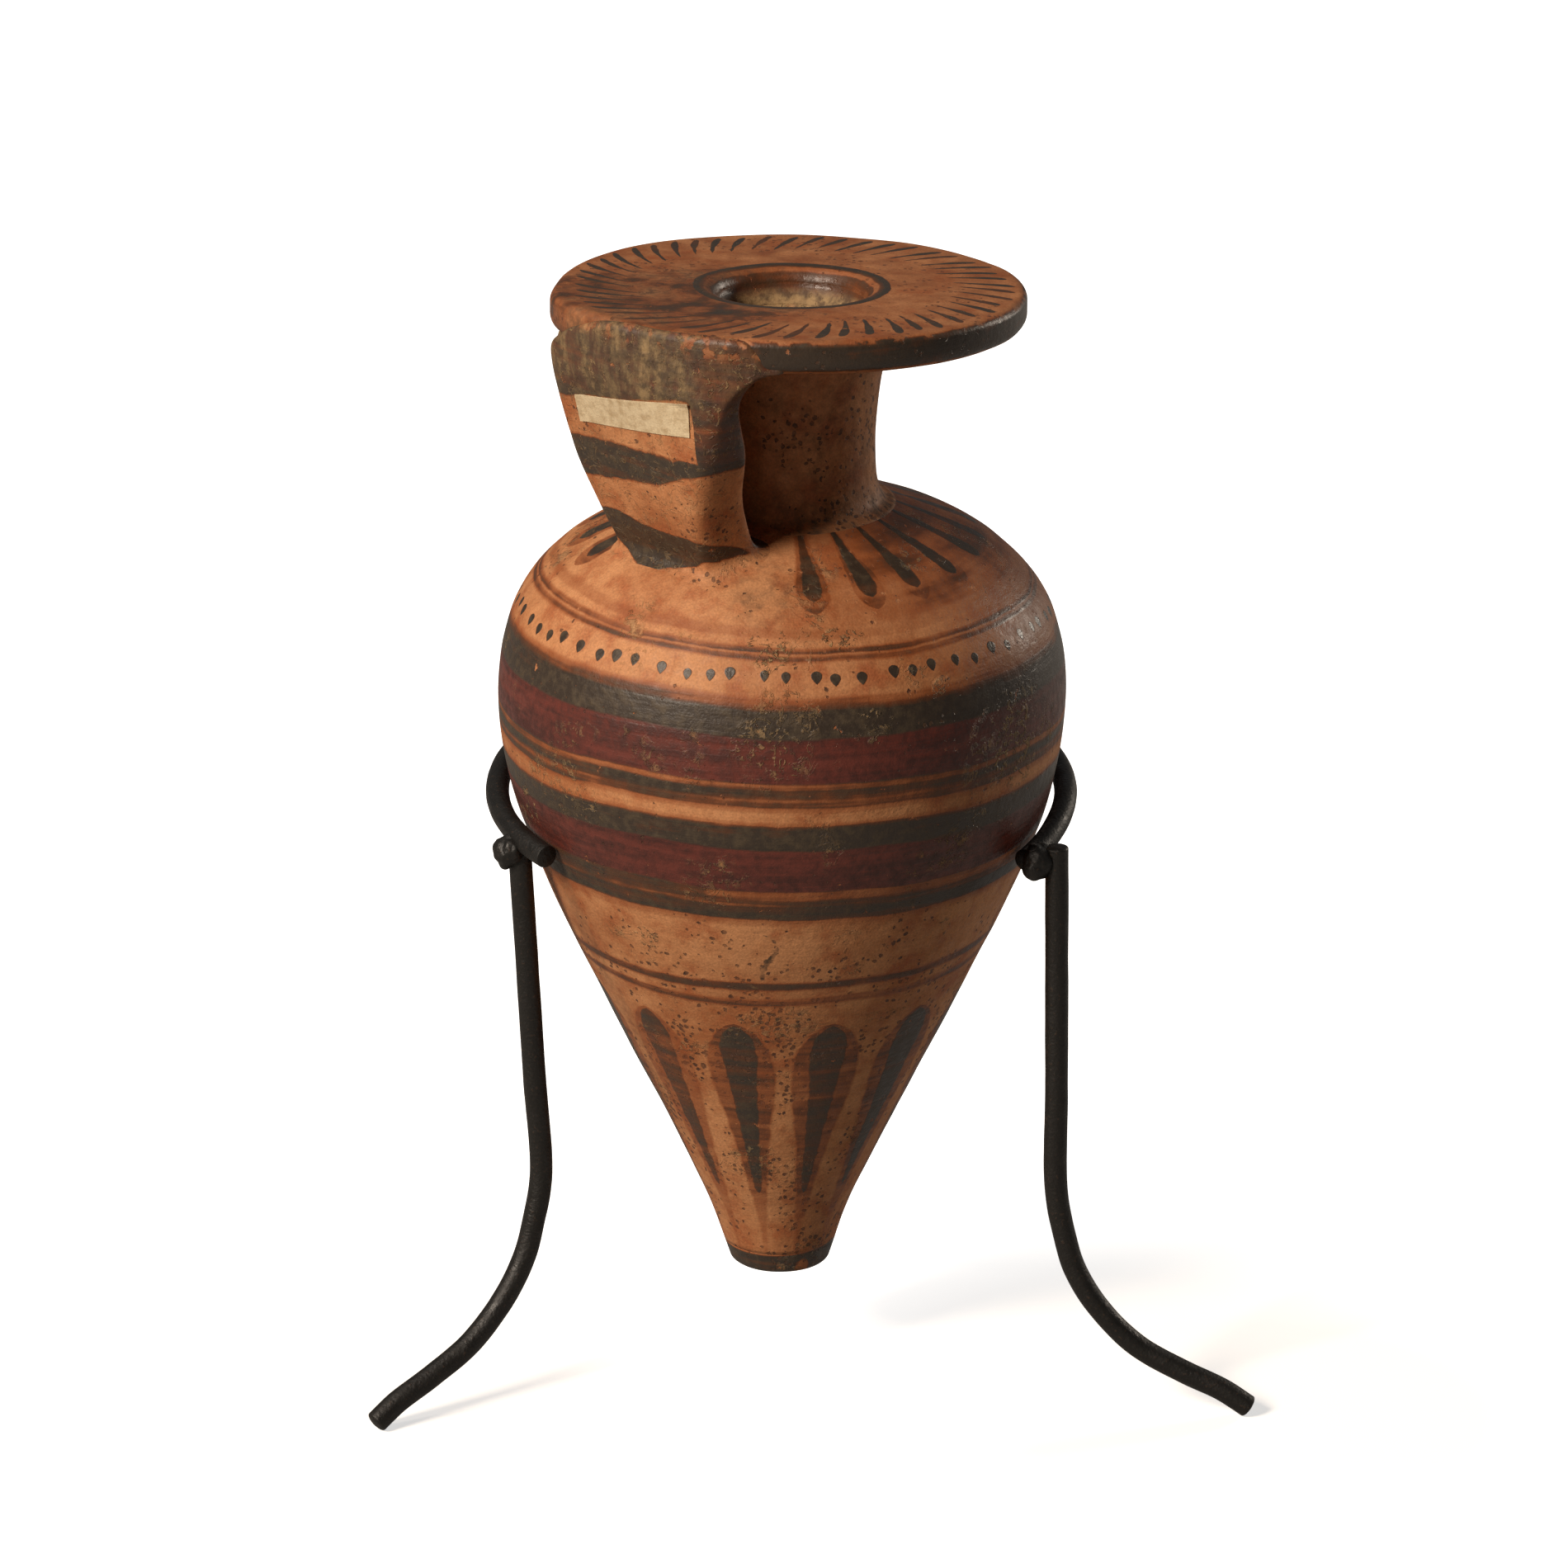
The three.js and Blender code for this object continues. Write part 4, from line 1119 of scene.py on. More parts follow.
class ARYBALLOS_OT_neck(bpy.types.Operator):
    """Neck tube with its bore and a soft roll of clay round its root"""

    bl_idname = "aryballos.neck"
    bl_label = "Neck"

    def execute(self, context):
        settings = context.scene.aryballos_vessel
        wall = BodyWall(settings)
        root = settings.neck_root
        foot = wall.shoulder_at(root)
        side = spline([
            (root, foot + 0.03 * MM),
            (root - 1.5 * MM, foot + 0.85 * MM),
            (root - 2.4 * MM, foot + 3 * MM),
            (settings.neck_waist, NECK_SEAT + NECK_HEIGHT * 0.36),
            (settings.neck_waist + 0.1 * MM, NECK_SEAT + NECK_HEIGHT * 0.55),
            (settings.neck_waist + 0.8 * MM, NECK_SEAT + NECK_HEIGHT * 0.82),
            (settings.neck_waist + 2 * MM, NECK_TOP - 0.3 * MM),
            (settings.neck_waist + 3.2 * MM, NECK_TOP + 0.5 * MM),
        ], steps=12, spacing=0.5)
        outline = [
            Vector((BORE_RADIUS, NECK_SEAT)), Vector((root - 1 * MM, NECK_SEAT)),
            Vector((root + 0.3 * MM, foot - 0.5 * MM)), *evenly(side, 0.5 * MM),
            *sloped([(BORE_RADIUS, NECK_TOP + 0.5 * MM), (BORE_RADIUS, NECK_SEAT)], 1 * MM),
        ]
        turned_piece(
            "vessel_neck", outline, neck_clay(context.scene.aryballos_finish), settings.segments // 2,
            lean_from=NECK_SEAT, lean_height=NECK_HEIGHT,
        )
        return {"FINISHED"}


class ARYBALLOS_OT_mouth_disc(bpy.types.Operator):
    """Broad flat disc with its soft lip round the mouth"""

    bl_idname = "aryballos.mouth_disc"
    bl_label = "Mouth disc"

    def execute(self, context):
        settings = context.scene.aryballos_vessel
        rim, mouth = settings.disc_radius, settings.mouth_radius
        lower, upper, lip = 1.8 * MM, 1.2 * MM, 2.2 * MM
        outline = [
            *sloped([(BORE_RADIUS, DISC_BOTTOM), (rim - lower, DISC_BOTTOM)], 0.8 * MM),
            *arc(rim - lower, DISC_BOTTOM + lower, lower, -90, 0)[1:],
            *arc(rim - upper, DISC_TOP - upper, upper, 0, 90),
            *sloped([(rim - upper, DISC_TOP), (mouth + lip, DISC_TOP)], 0.6 * MM)[1:],
            *arc(mouth + lip, DISC_TOP - lip, lip, 90, 180)[1:],
            *sloped([(mouth, DISC_TOP - lip), (BORE_RADIUS, DISC_BOTTOM)], 0.5 * MM)[1:],
        ]
        piece = turned_piece(
            "mouth_disc", outline, disc_clay(context.scene.aryballos_finish), settings.segments,
            lean_from=-1.0, lean_height=0.1,
        )
        centre, pushed = AXIS + DISC_SHIFT, direction(RIM_BULGE_AZIMUTH)
        for vertex in piece.data.vertices:
            flat = Vector((vertex.co.x - centre.x, vertex.co.y - centre.y, 0))
            near_rim = smooth((flat.length - RIM_BULGE_START) / (rim - RIM_BULGE_START))
            near_strap = smooth(1 - flat.angle(pushed, 0) / math.radians(RIM_BULGE_HALF_ANGLE))
            vertex.co += flat.normalized() * RIM_BULGE * near_rim * near_strap
        return {"FINISHED"}


# ---------------------------------------------------------------- strap handle

def disc_level(place, height):
    """Height of a level of the disc over a place, given in the vessel's frame."""
    flat = Vector((place.x - DISC_SHIFT.x, place.y - DISC_SHIFT.y, 0))
    return height + DISC_RISE.dot(flat)


def strap_section(steps=5, across=14, deep=5):
    """Section of the strap: place across and depth, with the way out at each point."""
    half, inner, round_edge = STRAP_TOP_WIDTH / 2, -STRAP_THICKNESS, STRAP_ROUND_EDGE
    corners = [
        (half - round_edge, inner + round_edge, -90), (half - round_edge, -round_edge, 0),
        (round_edge - half, -round_edge, 90), (round_edge - half, inner + round_edge, 180),
    ]
    found = []
    for i, (x, y, start) in enumerate(corners):
        for step in range(steps + 1):
            angle = math.radians(start + 90 * step / steps)
            out = Vector((math.cos(angle), math.sin(angle)))
            found.append((Vector((x, y)) + out * round_edge, out))
        following = corners[(i + 1) % 4]
        angle = math.radians(start + 90)
        out = Vector((math.cos(angle), math.sin(angle)))
        begin, end = found[-1][0], Vector(following[:2]) + out * round_edge
        count = across if i % 2 else deep
        found += [(begin.lerp(end, step / count), out) for step in range(1, count)]
    return found


class StrapForm:
    """The strap's curve from the shoulder to the disc, and places on its skin."""

    def __init__(self, settings):
        self.wall = BodyWall(settings)
        body = settings.body_radius
        root_reach = lerp(SEAT_RIM_RADIUS, body, STRAP_ROOT_SHARE)
        top_reach = settings.disc_radius - STRAP_SETBACK
        root_height = self.wall.shoulder_at(root_reach)
        knots = [
            (lerp(root_reach, top_reach, reach), lerp(root_height, DISC_BOTTOM, height),
             lerp(STRAP_ROOT_WIDTH, STRAP_TOP_WIDTH, width))
            for height, reach, width in STRAP
        ]
        self.line = spline(knots, steps=40)

    def at(self, share):
        place = share * (len(self.line) - 1)
        i = min(int(place), len(self.line) - 2)
        return self.line[i].lerp(self.line[i + 1], place - i)

    def point(self, share, section, out):
        """Place on the skin and the way out of it."""
        reach, height, width = self.at(share)
        step = 0.004
        along = self.at(min(1, share + step)) - self.at(max(0, share - step))
        along = Vector((along.x, along.y)).normalized()
        across = section.x / (STRAP_TOP_WIDTH / 2)
        near_disc = smooth((height - DISC_BOTTOM + FACE_BULGE_START) / FACE_BULGE_START)
        bulge = near_disc * FACE_BULGE * (1 - 0.53 * across - 1.33 * across ** 2)
        right_back = smooth(across) * min(1, -section.y / STRAP_THICKNESS)
        right_back *= 1 - smooth((height - DISC_BOTTOM + BACK_FADE_START) / BACK_FADE)
        depth = section.y + bulge * max(0, out.y) - BACK_DEPTH * right_back
        place = Vector((
            section.x * width / STRAP_TOP_WIDTH + BACK_WIDTH * right_back,
            -reach - along.y * depth, height - along.x * depth,
        ))
        return place, Vector((out.x, -along.y * out.y, -along.x * out.y))

    def crossing(self, section, out, clearance):
        """Share at which a strand of the skin has a clearance of zero."""
        low, high = 0.0, 1.0
        for _ in range(40):
            middle = (low + high) / 2
            if clearance(self.point(middle, section, out)[0]) < 0:
                low = middle
            else:
                high = middle
        return (low + high) / 2


def fold_drop(across):
    """How far under the disc's top the strap's face folds over, at a place across it."""
    for (low, start), (high, end) in zip(FOLD, FOLD[1:]):
        if across <= high:
            return lerp(start, end, max(0, (across - low) / (high - low)))
    return FOLD[-1][1]


def strap_strand(form, section, out, settings):
    """One line of the strap's skin from inside the shoulder up into the disc."""
    outer = smooth(out.y * 1.4)
    near_face = smooth(1 + section.y / (2.5 * MM))
    left_side = smooth(-out.x)
    side_drop = DISC_THICKNESS - 0.2 * MM + 1.2 * MM * near_face * left_side
    drop = lerp(side_drop, fold_drop(section.x) + FOLD_ROLL, outer)

    def above_shoulder(place):
        return place.z - form.wall.shoulder_at(math.hypot(place.x, place.y))

    def above_goal(place):
        return place.z - disc_level(place, DISC_TOP - drop)

    root = form.crossing(section, out, above_shoulder)
    top = form.crossing(section, out, above_goal)
    fillet = settings.strap_fillet
    spread = settings.flare_right * max(0, out.x) ** 2 + settings.flare_back * max(0, -out.y) ** 2

    # Rows that leave the shoulder on a round fillet
    foot = form.point(root, section, out)[0]
    span = (form.point(min(1, root + 0.05), section, out)[0] - foot).length / 0.05
    points = []
    for step in range(-1, 7):
        angle = math.radians(15 * max(0, step))
        place, way = form.point(root + fillet * (1 - math.cos(angle)) / span, section, out)
        clear = above_shoulder(place)
        push = fillet * (1 - math.sin(angle)) + (0.6 * MM if step < 0 else 0)
        moved = place + way * push
        follow = 1 - min(1, max(0, clear / fillet))
        moved.z += follow * (clear - above_shoulder(moved)) - (0.5 * MM if step < 0 else 0)
        points.append(moved)
    buried = form.point(root, section, out)[0] + Vector((0, 0, -2 * MM))

    # The free run, which spreads along the rim and under the disc
    start, rows = root + fillet / span, 46
    for row in range(1, rows + 1):
        share = lerp(start, top, 1 - (1 - row / rows) ** 1.35)
        place, way = form.point(share, section, out)
        near = 1 - min(1, max(0, -above_goal(place) / settings.flare_down))
        push = spread * (1 - math.sqrt(max(0, 1 - near * near)))
        flat = Vector((way.x, max(0, way.y), 0))
        moved = place + flat.normalized() * push if flat.length > 0.01 else place
        held = smooth(near * 1.5) * max(0, out.x)
        from_centre = Vector((moved.x - DISC_SHIFT.x, moved.y - DISC_SHIFT.y, 0))
        beyond = max(0, from_centre.length - settings.disc_radius)
        points.append(moved - from_centre.normalized() * beyond * held)

    # Into the disc: the outer face folds over and dives into the disc's top
    last = points[-1]
    inward = Vector((DISC_SHIFT.x - last.x, DISC_SHIFT.y - last.y, 0)).normalized()
    for step in range(1, 8):
        angle = math.radians(90 * min(1, step / 5))
        deeper = max(0, step - 5)
        over = FOLD_ROLL * (1 - math.cos(angle)) + deeper * 1.5 * MM
        rise = FOLD_ROLL * math.sin(angle) * outer + 0.6 * MM * (1 - outer) - deeper * 0.5 * MM
        points.append(last + inward * over + Vector((0, 0, rise)))
    return [buried, *points]


def loft(rows):
    """Closed skin over rows of points, with flat ends."""
    count = len(rows[0])
    faces = []
    for row in range(len(rows) - 1):
        for i in range(count):
            after = (i + 1) % count
            faces.append((
                row * count + i, row * count + after,
                (row + 1) * count + after, (row + 1) * count + i,
            ))
    faces.append(tuple(range(count))[::-1])
    faces.append(tuple((len(rows) - 1) * count + i for i in range(count)))
    return [point for row in rows for point in row], faces


def rim_sector(settings):
    """Part of the disc's rim beside the strap, a little inside the disc itself."""
    rim, under, inner = settings.disc_radius - 0.3 * MM, 0.3 * MM, 18 * MM
    section = [
        (inner, DISC_BOTTOM + under), (rim - 1.8 * MM, DISC_BOTTOM + under),
        (rim - 0.5 * MM, DISC_BOTTOM + 0.6 * MM), (rim, DISC_BOTTOM + 1.8 * MM),
        (rim, DISC_TOP - 1.2 * MM), (rim - 0.4 * MM, DISC_TOP - 0.4 * MM),
        (rim - 1.2 * MM, DISC_TOP - under), (inner, DISC_TOP - under),
    ]
    # From 12 degrees left of the strap's middle to 78 degrees right of it
    rows = []
    for step in range(46):
        out = direction(-12 + 2 * step)
        rows.append([
            DISC_SHIFT + out * r + Vector((0, 0, z + DISC_RISE.dot(out) * r)) for r, z in section
        ])
    return rows


def shoulder_patch(form):
    """Part of the shoulder round the strap's root, a little inside the body itself."""
    # From 33 to 11 mm in front of the axis, and 14 mm to each side of the strap's middle
    rows = []
    for step in range(40):
        y = lerp(-33, -11, step / 39) * MM
        across = [lerp(-14, 14, i / 40) * MM for i in range(41)]
        top = [Vector((x, y, form.wall.shoulder_at(math.hypot(x, y)) - 0.3 * MM)) for x in across]
        rows.append([*top, *(point - Vector((0, 0, 2.4 * MM)) for point in reversed(top))])
    return rows


class ARYBALLOS_OT_strap_handle(bpy.types.Operator):
    """Wide strap from the shoulder to the disc, drawn out on soft fillets"""

    bl_idname = "aryballos.strap_handle"
    bl_label = "Strap handle"

    def execute(self, context):
        settings = context.scene.aryballos_vessel
        form = StrapForm(settings)
        strands = [strap_strand(form, place, out, settings) for place, out in strap_section()]
        rows = [[strand[row] for strand in strands] for row in range(len(strands[0]))]
        points, faces = [], []
        for block in (rows, rim_sector(settings), shoulder_patch(form)):
            block_points, block_faces = loft(block)
            if volume_of(block_points, block_faces) < 0:
                block_faces = [face[::-1] for face in block_faces]
            faces += [tuple(i + len(points) for i in face) for face in block_faces]
            points += [AXIS + point for point in block_points]
        tree, add, given = piece_tree("Hand-drawn strap", {})
        close_tree(add, given, given["Mesh"], seed=0.37)
        clay = strap_clay(context.scene.aryballos_finish)
        piece = grown("strap_handle_clay", mesh_of("strap_handle", points, (), faces), tree, {
            "Lump size": 9 * MM, "Lump depth": 0.4 * MM, "Material": clay,
        })
        fused(piece, clay, voxel=0.33 * MM, rounds=14)
        fit_to(piece, "vessel", "terracotta", "strap_handle")
        return {"FINISHED"}


# ---------------------------------------------------------------- paper label

class ARYBALLOS_OT_paper_label(bpy.types.Operator):
    """Old blank paper label stuck across the strap"""

    bl_idname = "aryballos.paper_label"
    bl_label = "Paper label"

    def execute(self, context):
        bottom_left, bottom_right, top_right, top_left = (
            Vector(corner) * MM for corner in LABEL_CORNERS
        )
        strap = bpy.data.objects["strap_handle_clay"].data
        skin = BVHTree.FromPolygons(
            [vertex.co for vertex in strap.vertices], [face.vertices for face in strap.polygons]
        )
        columns, rows = 60, 16
        in_front, gap = -60 * MM, 0.05 * MM
        front, back = [], []
        for row in range(rows + 1):
            for column in range(columns + 1):
                u, v = column / columns, row / rows
                low = bottom_left.lerp(bottom_right, u)
                high = top_left.lerp(top_right, u)
                place = low.lerp(high, v)
                eye = AXIS + Vector((place.x, in_front, place.y))
                hit, normal, _, _ = skin.ray_cast(eye, Vector((0, 1, 0)))
                if hit is None:
                    raise RuntimeError("the label hangs beyond the strap")
                # Its upper right corner and its left edge have come loose
                curl = 0.35 * MM * smooth((u + v - 1.8) / 0.2)
                curl += 0.2 * MM * smooth((0.06 - u) / 0.06)
                front.append(hit + normal * (LABEL_THICKNESS + gap + curl))
                back.append(hit + normal * (0.03 * MM + curl * 0.9))
        points = front + back
        wide, total = columns + 1, len(front)
        faces = []
        for row in range(rows):
            for column in range(columns):
                i = row * wide + column
                faces.append((i, i + 1, i + wide + 1, i + wide))
                faces.append((total + i, total + i + wide, total + i + wide + 1, total + i + 1))
        edge = (
            list(range(wide))
            + [row * wide + columns for row in range(1, rows + 1)]
            + [rows * wide + column for column in range(columns - 1, -1, -1)]
            + [row * wide for row in range(rows - 1, 0, -1)]
        )
        for i, here in enumerate(edge):
            there = edge[(i + 1) % len(edge)]
            faces.append((here, total + here, total + there, there))
        piece = linked("paper_label_sheet", mesh_of("paper_label_sheet", points, (), faces))
        outward(piece.data)
        piece.data.materials.append(aged_paper(context.scene.aryballos_finish))
        fit_to(piece, "vessel", "paper", "paper_label")
        return {"FINISHED"}


# ---------------------------------------------------------------- iron stand

def iron_rod_tree():
    """Sweeps a round bar of changing radius along a line and dents it a little."""
    tree, add, given = piece_tree("Iron rod", {"Facets": "Int"})
    bar = add("GeometryNodeCurveToMesh", {
        "Curve": add("GeometryNodeMeshToCurve", given["Mesh"]),
        "Profile Curve": add("GeometryNodeCurvePrimitiveCircle", {
            "Resolution": given["Facets"], "Radius": 1.0,
        }),
        "Scale": add("GeometryNodeInputNamedAttribute", "rod_radius", data_type="FLOAT"),
        "Fill Caps": True,
    })
    close_tree(add, given, bar)
    return tree


def rod_piece(name, line, radii, material):
    tree = bpy.data.node_groups.get("Iron rod") or iron_rod_tree()
    mesh = line_mesh(name, line)
    mesh.attributes.new("rod_radius", "FLOAT", "POINT").data.foreach_set("value", radii)
    piece = grown(f"{name}_iron", mesh, tree, {
        "Facets": 28, "Lump size": 7 * MM, "Lump depth": 0.16 * MM, "Material": material,
    })
    outward(piece.data)
    piece.data.set_sharp_from_angle(angle=math.radians(50))
    fit_to(piece, "stand", "black_paint", name)
    return piece


def with_ends(line, radius, chamfers):
    """Adds close rows at both ends of a bar, so that its cut ends have worn edges.

    The chamfers are the lengths of the edges at its start and its end, and neither is 0.
    """
    start, end = chamfers
    found, radii = [], []
    total = sum((b - a).length for a, b in zip(line, line[1:]))
    fine = evenly(line, 0.12 * MM)
    for i, point in enumerate(fine):
        reach = total * i / (len(fine) - 1)
        from_end = min(reach / start, (total - reach) / end)
        near_end = min(reach, total - reach) < 2.5 * MM
        if near_end or i % 6 == 0:
            share = 1 - min(1, from_end)
            found.append(point)
            radii.append(radius * math.sqrt(max(0.0, 1 - (share * 0.92) ** 2)))
    return found, radii


class RingForm:
    """Centrelines of the ring and of its legs, worked out from the vessel's wall."""

    def __init__(self, vessel, stand):
        self.wall = BodyWall(vessel)
        self.body = vessel.body_radius
        self.rod = stand.rod_radius
        self.height = stand.ring_height

    def point(self, degrees):
        side = abs((degrees + 180) % 360 - 180)
        is_right = degrees < -180
        end_side = 360 + RING_RIGHT_END if is_right else -RING_LEFT_END
        toward_end = min(1, max(0, (90 - side) / (90 - end_side)))
        cosine = math.cos(math.radians(side))
        openness = 1 - toward_end ** 2 if side < 90 else 1 - cosine ** 2
        nominal = self.wall.radius_at(self.height - FOOT_CLEARANCE) + self.rod + RING_PLAY
        droop = RIGHT_END_DROOP * smooth(toward_end) if is_right else 0
        height = self.height - math.tan(math.radians(RING_TILT)) * nominal * cosine - droop
        wall_height = height - FOOT_CLEARANCE
        off_wall = self.rod + RING_GAP + (RING_PLAY - RING_GAP) * openness
        slope = self.wall.slope_at(wall_height, self.rod)
        reach = self.wall.radius_at(wall_height) + off_wall * math.hypot(1, slope)
        return direction(FRONT_AZIMUTH + degrees) * reach + Vector((0, 0, height))

    def line(self):
        steps = 400
        return [self.point(lerp(RING_LEFT_END, RING_RIGHT_END, i / steps)) for i in range(steps + 1)]

    def leg_top(self, name):
        leg = LEGS[name]
        place = self.point(leg["top"])
        if name != "front_right_leg":
            return place - Vector((0, 0, self.rod + WELD_GAP))
        out = direction(FRONT_AZIMUTH + leg["top"]) * (self.rod * 2 + WELD_GAP * 2)
        return place + out + Vector((0, 0, RIGHT_LEG_LAP))

    def leg_line(self, name):
        leg = LEGS[name]
        top = self.leg_top(name)
        foot = direction(FRONT_AZIMUTH + leg["foot"]) * (self.body + leg["spread"])
        outward_way = Vector((foot.x - top.x, foot.y - top.y, 0))
        reach = outward_way.length
        outward_way.normalize()
        flat_top = Vector((top.x, top.y, 0))
        end_height = self.rod - FOOT_FLAT

        def place(away, height):
            return flat_top + outward_way * away + Vector((0, 0, height))

        straight = [
            place(-leg["inset"] * share, lerp(top.z, KNEE_HEIGHT, share)) for share in LEG_STRAIGHT
        ]
        bend = [
            place(lerp(-leg["inset"], reach, away), lerp(end_height, KNEE_HEIGHT, height))
            for height, away in LEG_BEND
        ]
        return spline([*straight, *bend], steps=16, spacing=0.5)


def on_stand(points):
    """Moves points from the vessel's axis on the floor to their place in the frame."""
    return [point + Vector((AXIS.x, AXIS.y, 0)) for point in points]


class ARYBALLOS_OT_ring(bpy.types.Operator):
    """Open ring of bent rod that carries the vessel"""

    bl_idname = "aryballos.ring"
    bl_label = "Stand ring"

    def execute(self, context):
        scene = context.scene
        form = RingForm(scene.aryballos_vessel, scene.aryballos_stand)
        line, radii = with_ends(on_stand(form.line()), form.rod, (0.3 * MM, 0.9 * MM))
        rod_piece("stand_ring", line, radii, brushed_black_paint(scene.aryballos_finish))
        return {"FINISHED"}


class ARYBALLOS_OT_legs(bpy.types.Operator):
    """Three bent legs, flat where they touch the floor"""

    bl_idname = "aryballos.legs"
    bl_label = "Legs"

    def execute(self, context):
        scene = context.scene
        form = RingForm(scene.aryballos_vessel, scene.aryballos_stand)
        for name in LEGS:
            line, radii = with_ends(on_stand(form.leg_line(name)), form.rod, (0.4 * MM, 0.5 * MM))
            piece = rod_piece(name, line, radii, brushed_black_paint(scene.aryballos_finish))
            for vertex in piece.data.vertices:
                vertex.co.z = max(0, vertex.co.z)
        return {"FINISHED"}


class ARYBALLOS_OT_welds(bpy.types.Operator):
    """Beads of weld in the corners of ring and legs"""

    bl_idname = "aryballos.welds"
    bl_label = "Weld beads"

    def execute(self, context):
        scene = context.scene
        stand = scene.aryballos_stand
        form = RingForm(scene.aryballos_vessel, stand)
        tree, add, given = piece_tree("Weld bead", {})
        beads = add("GeometryNodeInstanceOnPoints", {
            "Points": add("GeometryNodeMeshToPoints", given["Mesh"]),
            "Instance": add("GeometryNodeMeshIcoSphere", 1.0, 4),
            "Scale": add("GeometryNodeInputNamedAttribute", "drop_radius", data_type="FLOAT"),
        })
        close_tree(add, given, add("GeometryNodeRealizeInstances", beads))
        paint = brushed_black_paint(scene.aryballos_finish)
        for name, leg in LEGS.items():
            centre = form.leg_top(name)
            out = direction(FRONT_AZIMUTH + leg["top"])
            along = (form.point(leg["top"] + 1) - form.point(leg["top"])).normalized()
            if name == "front_right_leg":
                on_ring = form.point(leg["top"])
                centre = (on_ring + centre) / 2 - along * form.rod
                centre.z = on_ring.z
            else:
                centre += out * form.rod
            up = Vector((0, 0, 1))
            beads_run = [
                (Vector(), 1), (along * 0.42 + up * 0.25, 0.72), (-along * 0.4 - up * 0.3, 0.76),
                (up * 0.5 - out * 0.2, 0.62), (out * 0.12 - up * 0.55, 0.6),
            ]
            weld = name.replace("leg", "weld")
            line = mesh_of(weld, on_stand([centre + away * stand.weld_radius for away, _ in beads_run]))
            line.attributes.new("drop_radius", "FLOAT", "POINT").data.foreach_set(
                "value", [stand.weld_radius * 0.92 * share for _, share in beads_run]
            )
            piece = grown(f"{weld}_iron", line, tree, {
                "Lump size": 1.3 * MM, "Lump depth": 0.7 * MM, "Material": paint,
            })
            fused(piece, paint, voxel=0.12 * MM, rounds=4)
            fit_to(piece, "stand", "black_paint", weld)
        return {"FINISHED"}


# ---------------------------------------------------------------- stage

def area_light(name, size, power, place, aim, colour):
    lamp = bpy.data.lights.new(name, "AREA")
    lamp.shape = "RECTANGLE"
    lamp.size, lamp.size_y = size
    lamp.energy = power
    lamp.color = linear(colour)[:3]
    holder = bpy.data.objects.new(name, lamp)
    bpy.context.scene.collection.objects.link(holder)
    holder.location = place
    holder.rotation_euler = (aim - place).to_track_quat("-Z", "Y").to_euler()


def round_view(side, elevation, reach, aim):
    """A place seen from the aim at an angle right of the camera and over the floor."""
    up = math.radians(elevation)
    out = direction(FRONT_AZIMUTH + side)
    return aim + (out * math.cos(up) + Vector((0, 0, math.sin(up)))) * reach


def white_seen(add, stage):
    """Kinds of ray, and how much of the white room shows in gloss and through clear things."""
    rays = add("ShaderNodeLightPath").outputs
    dim = add("MULTIPLY", rays["Is Glossy Ray"], stage.mirrored)
    return rays, add("MAXIMUM", dim, rays["Is Transmission Ray"])


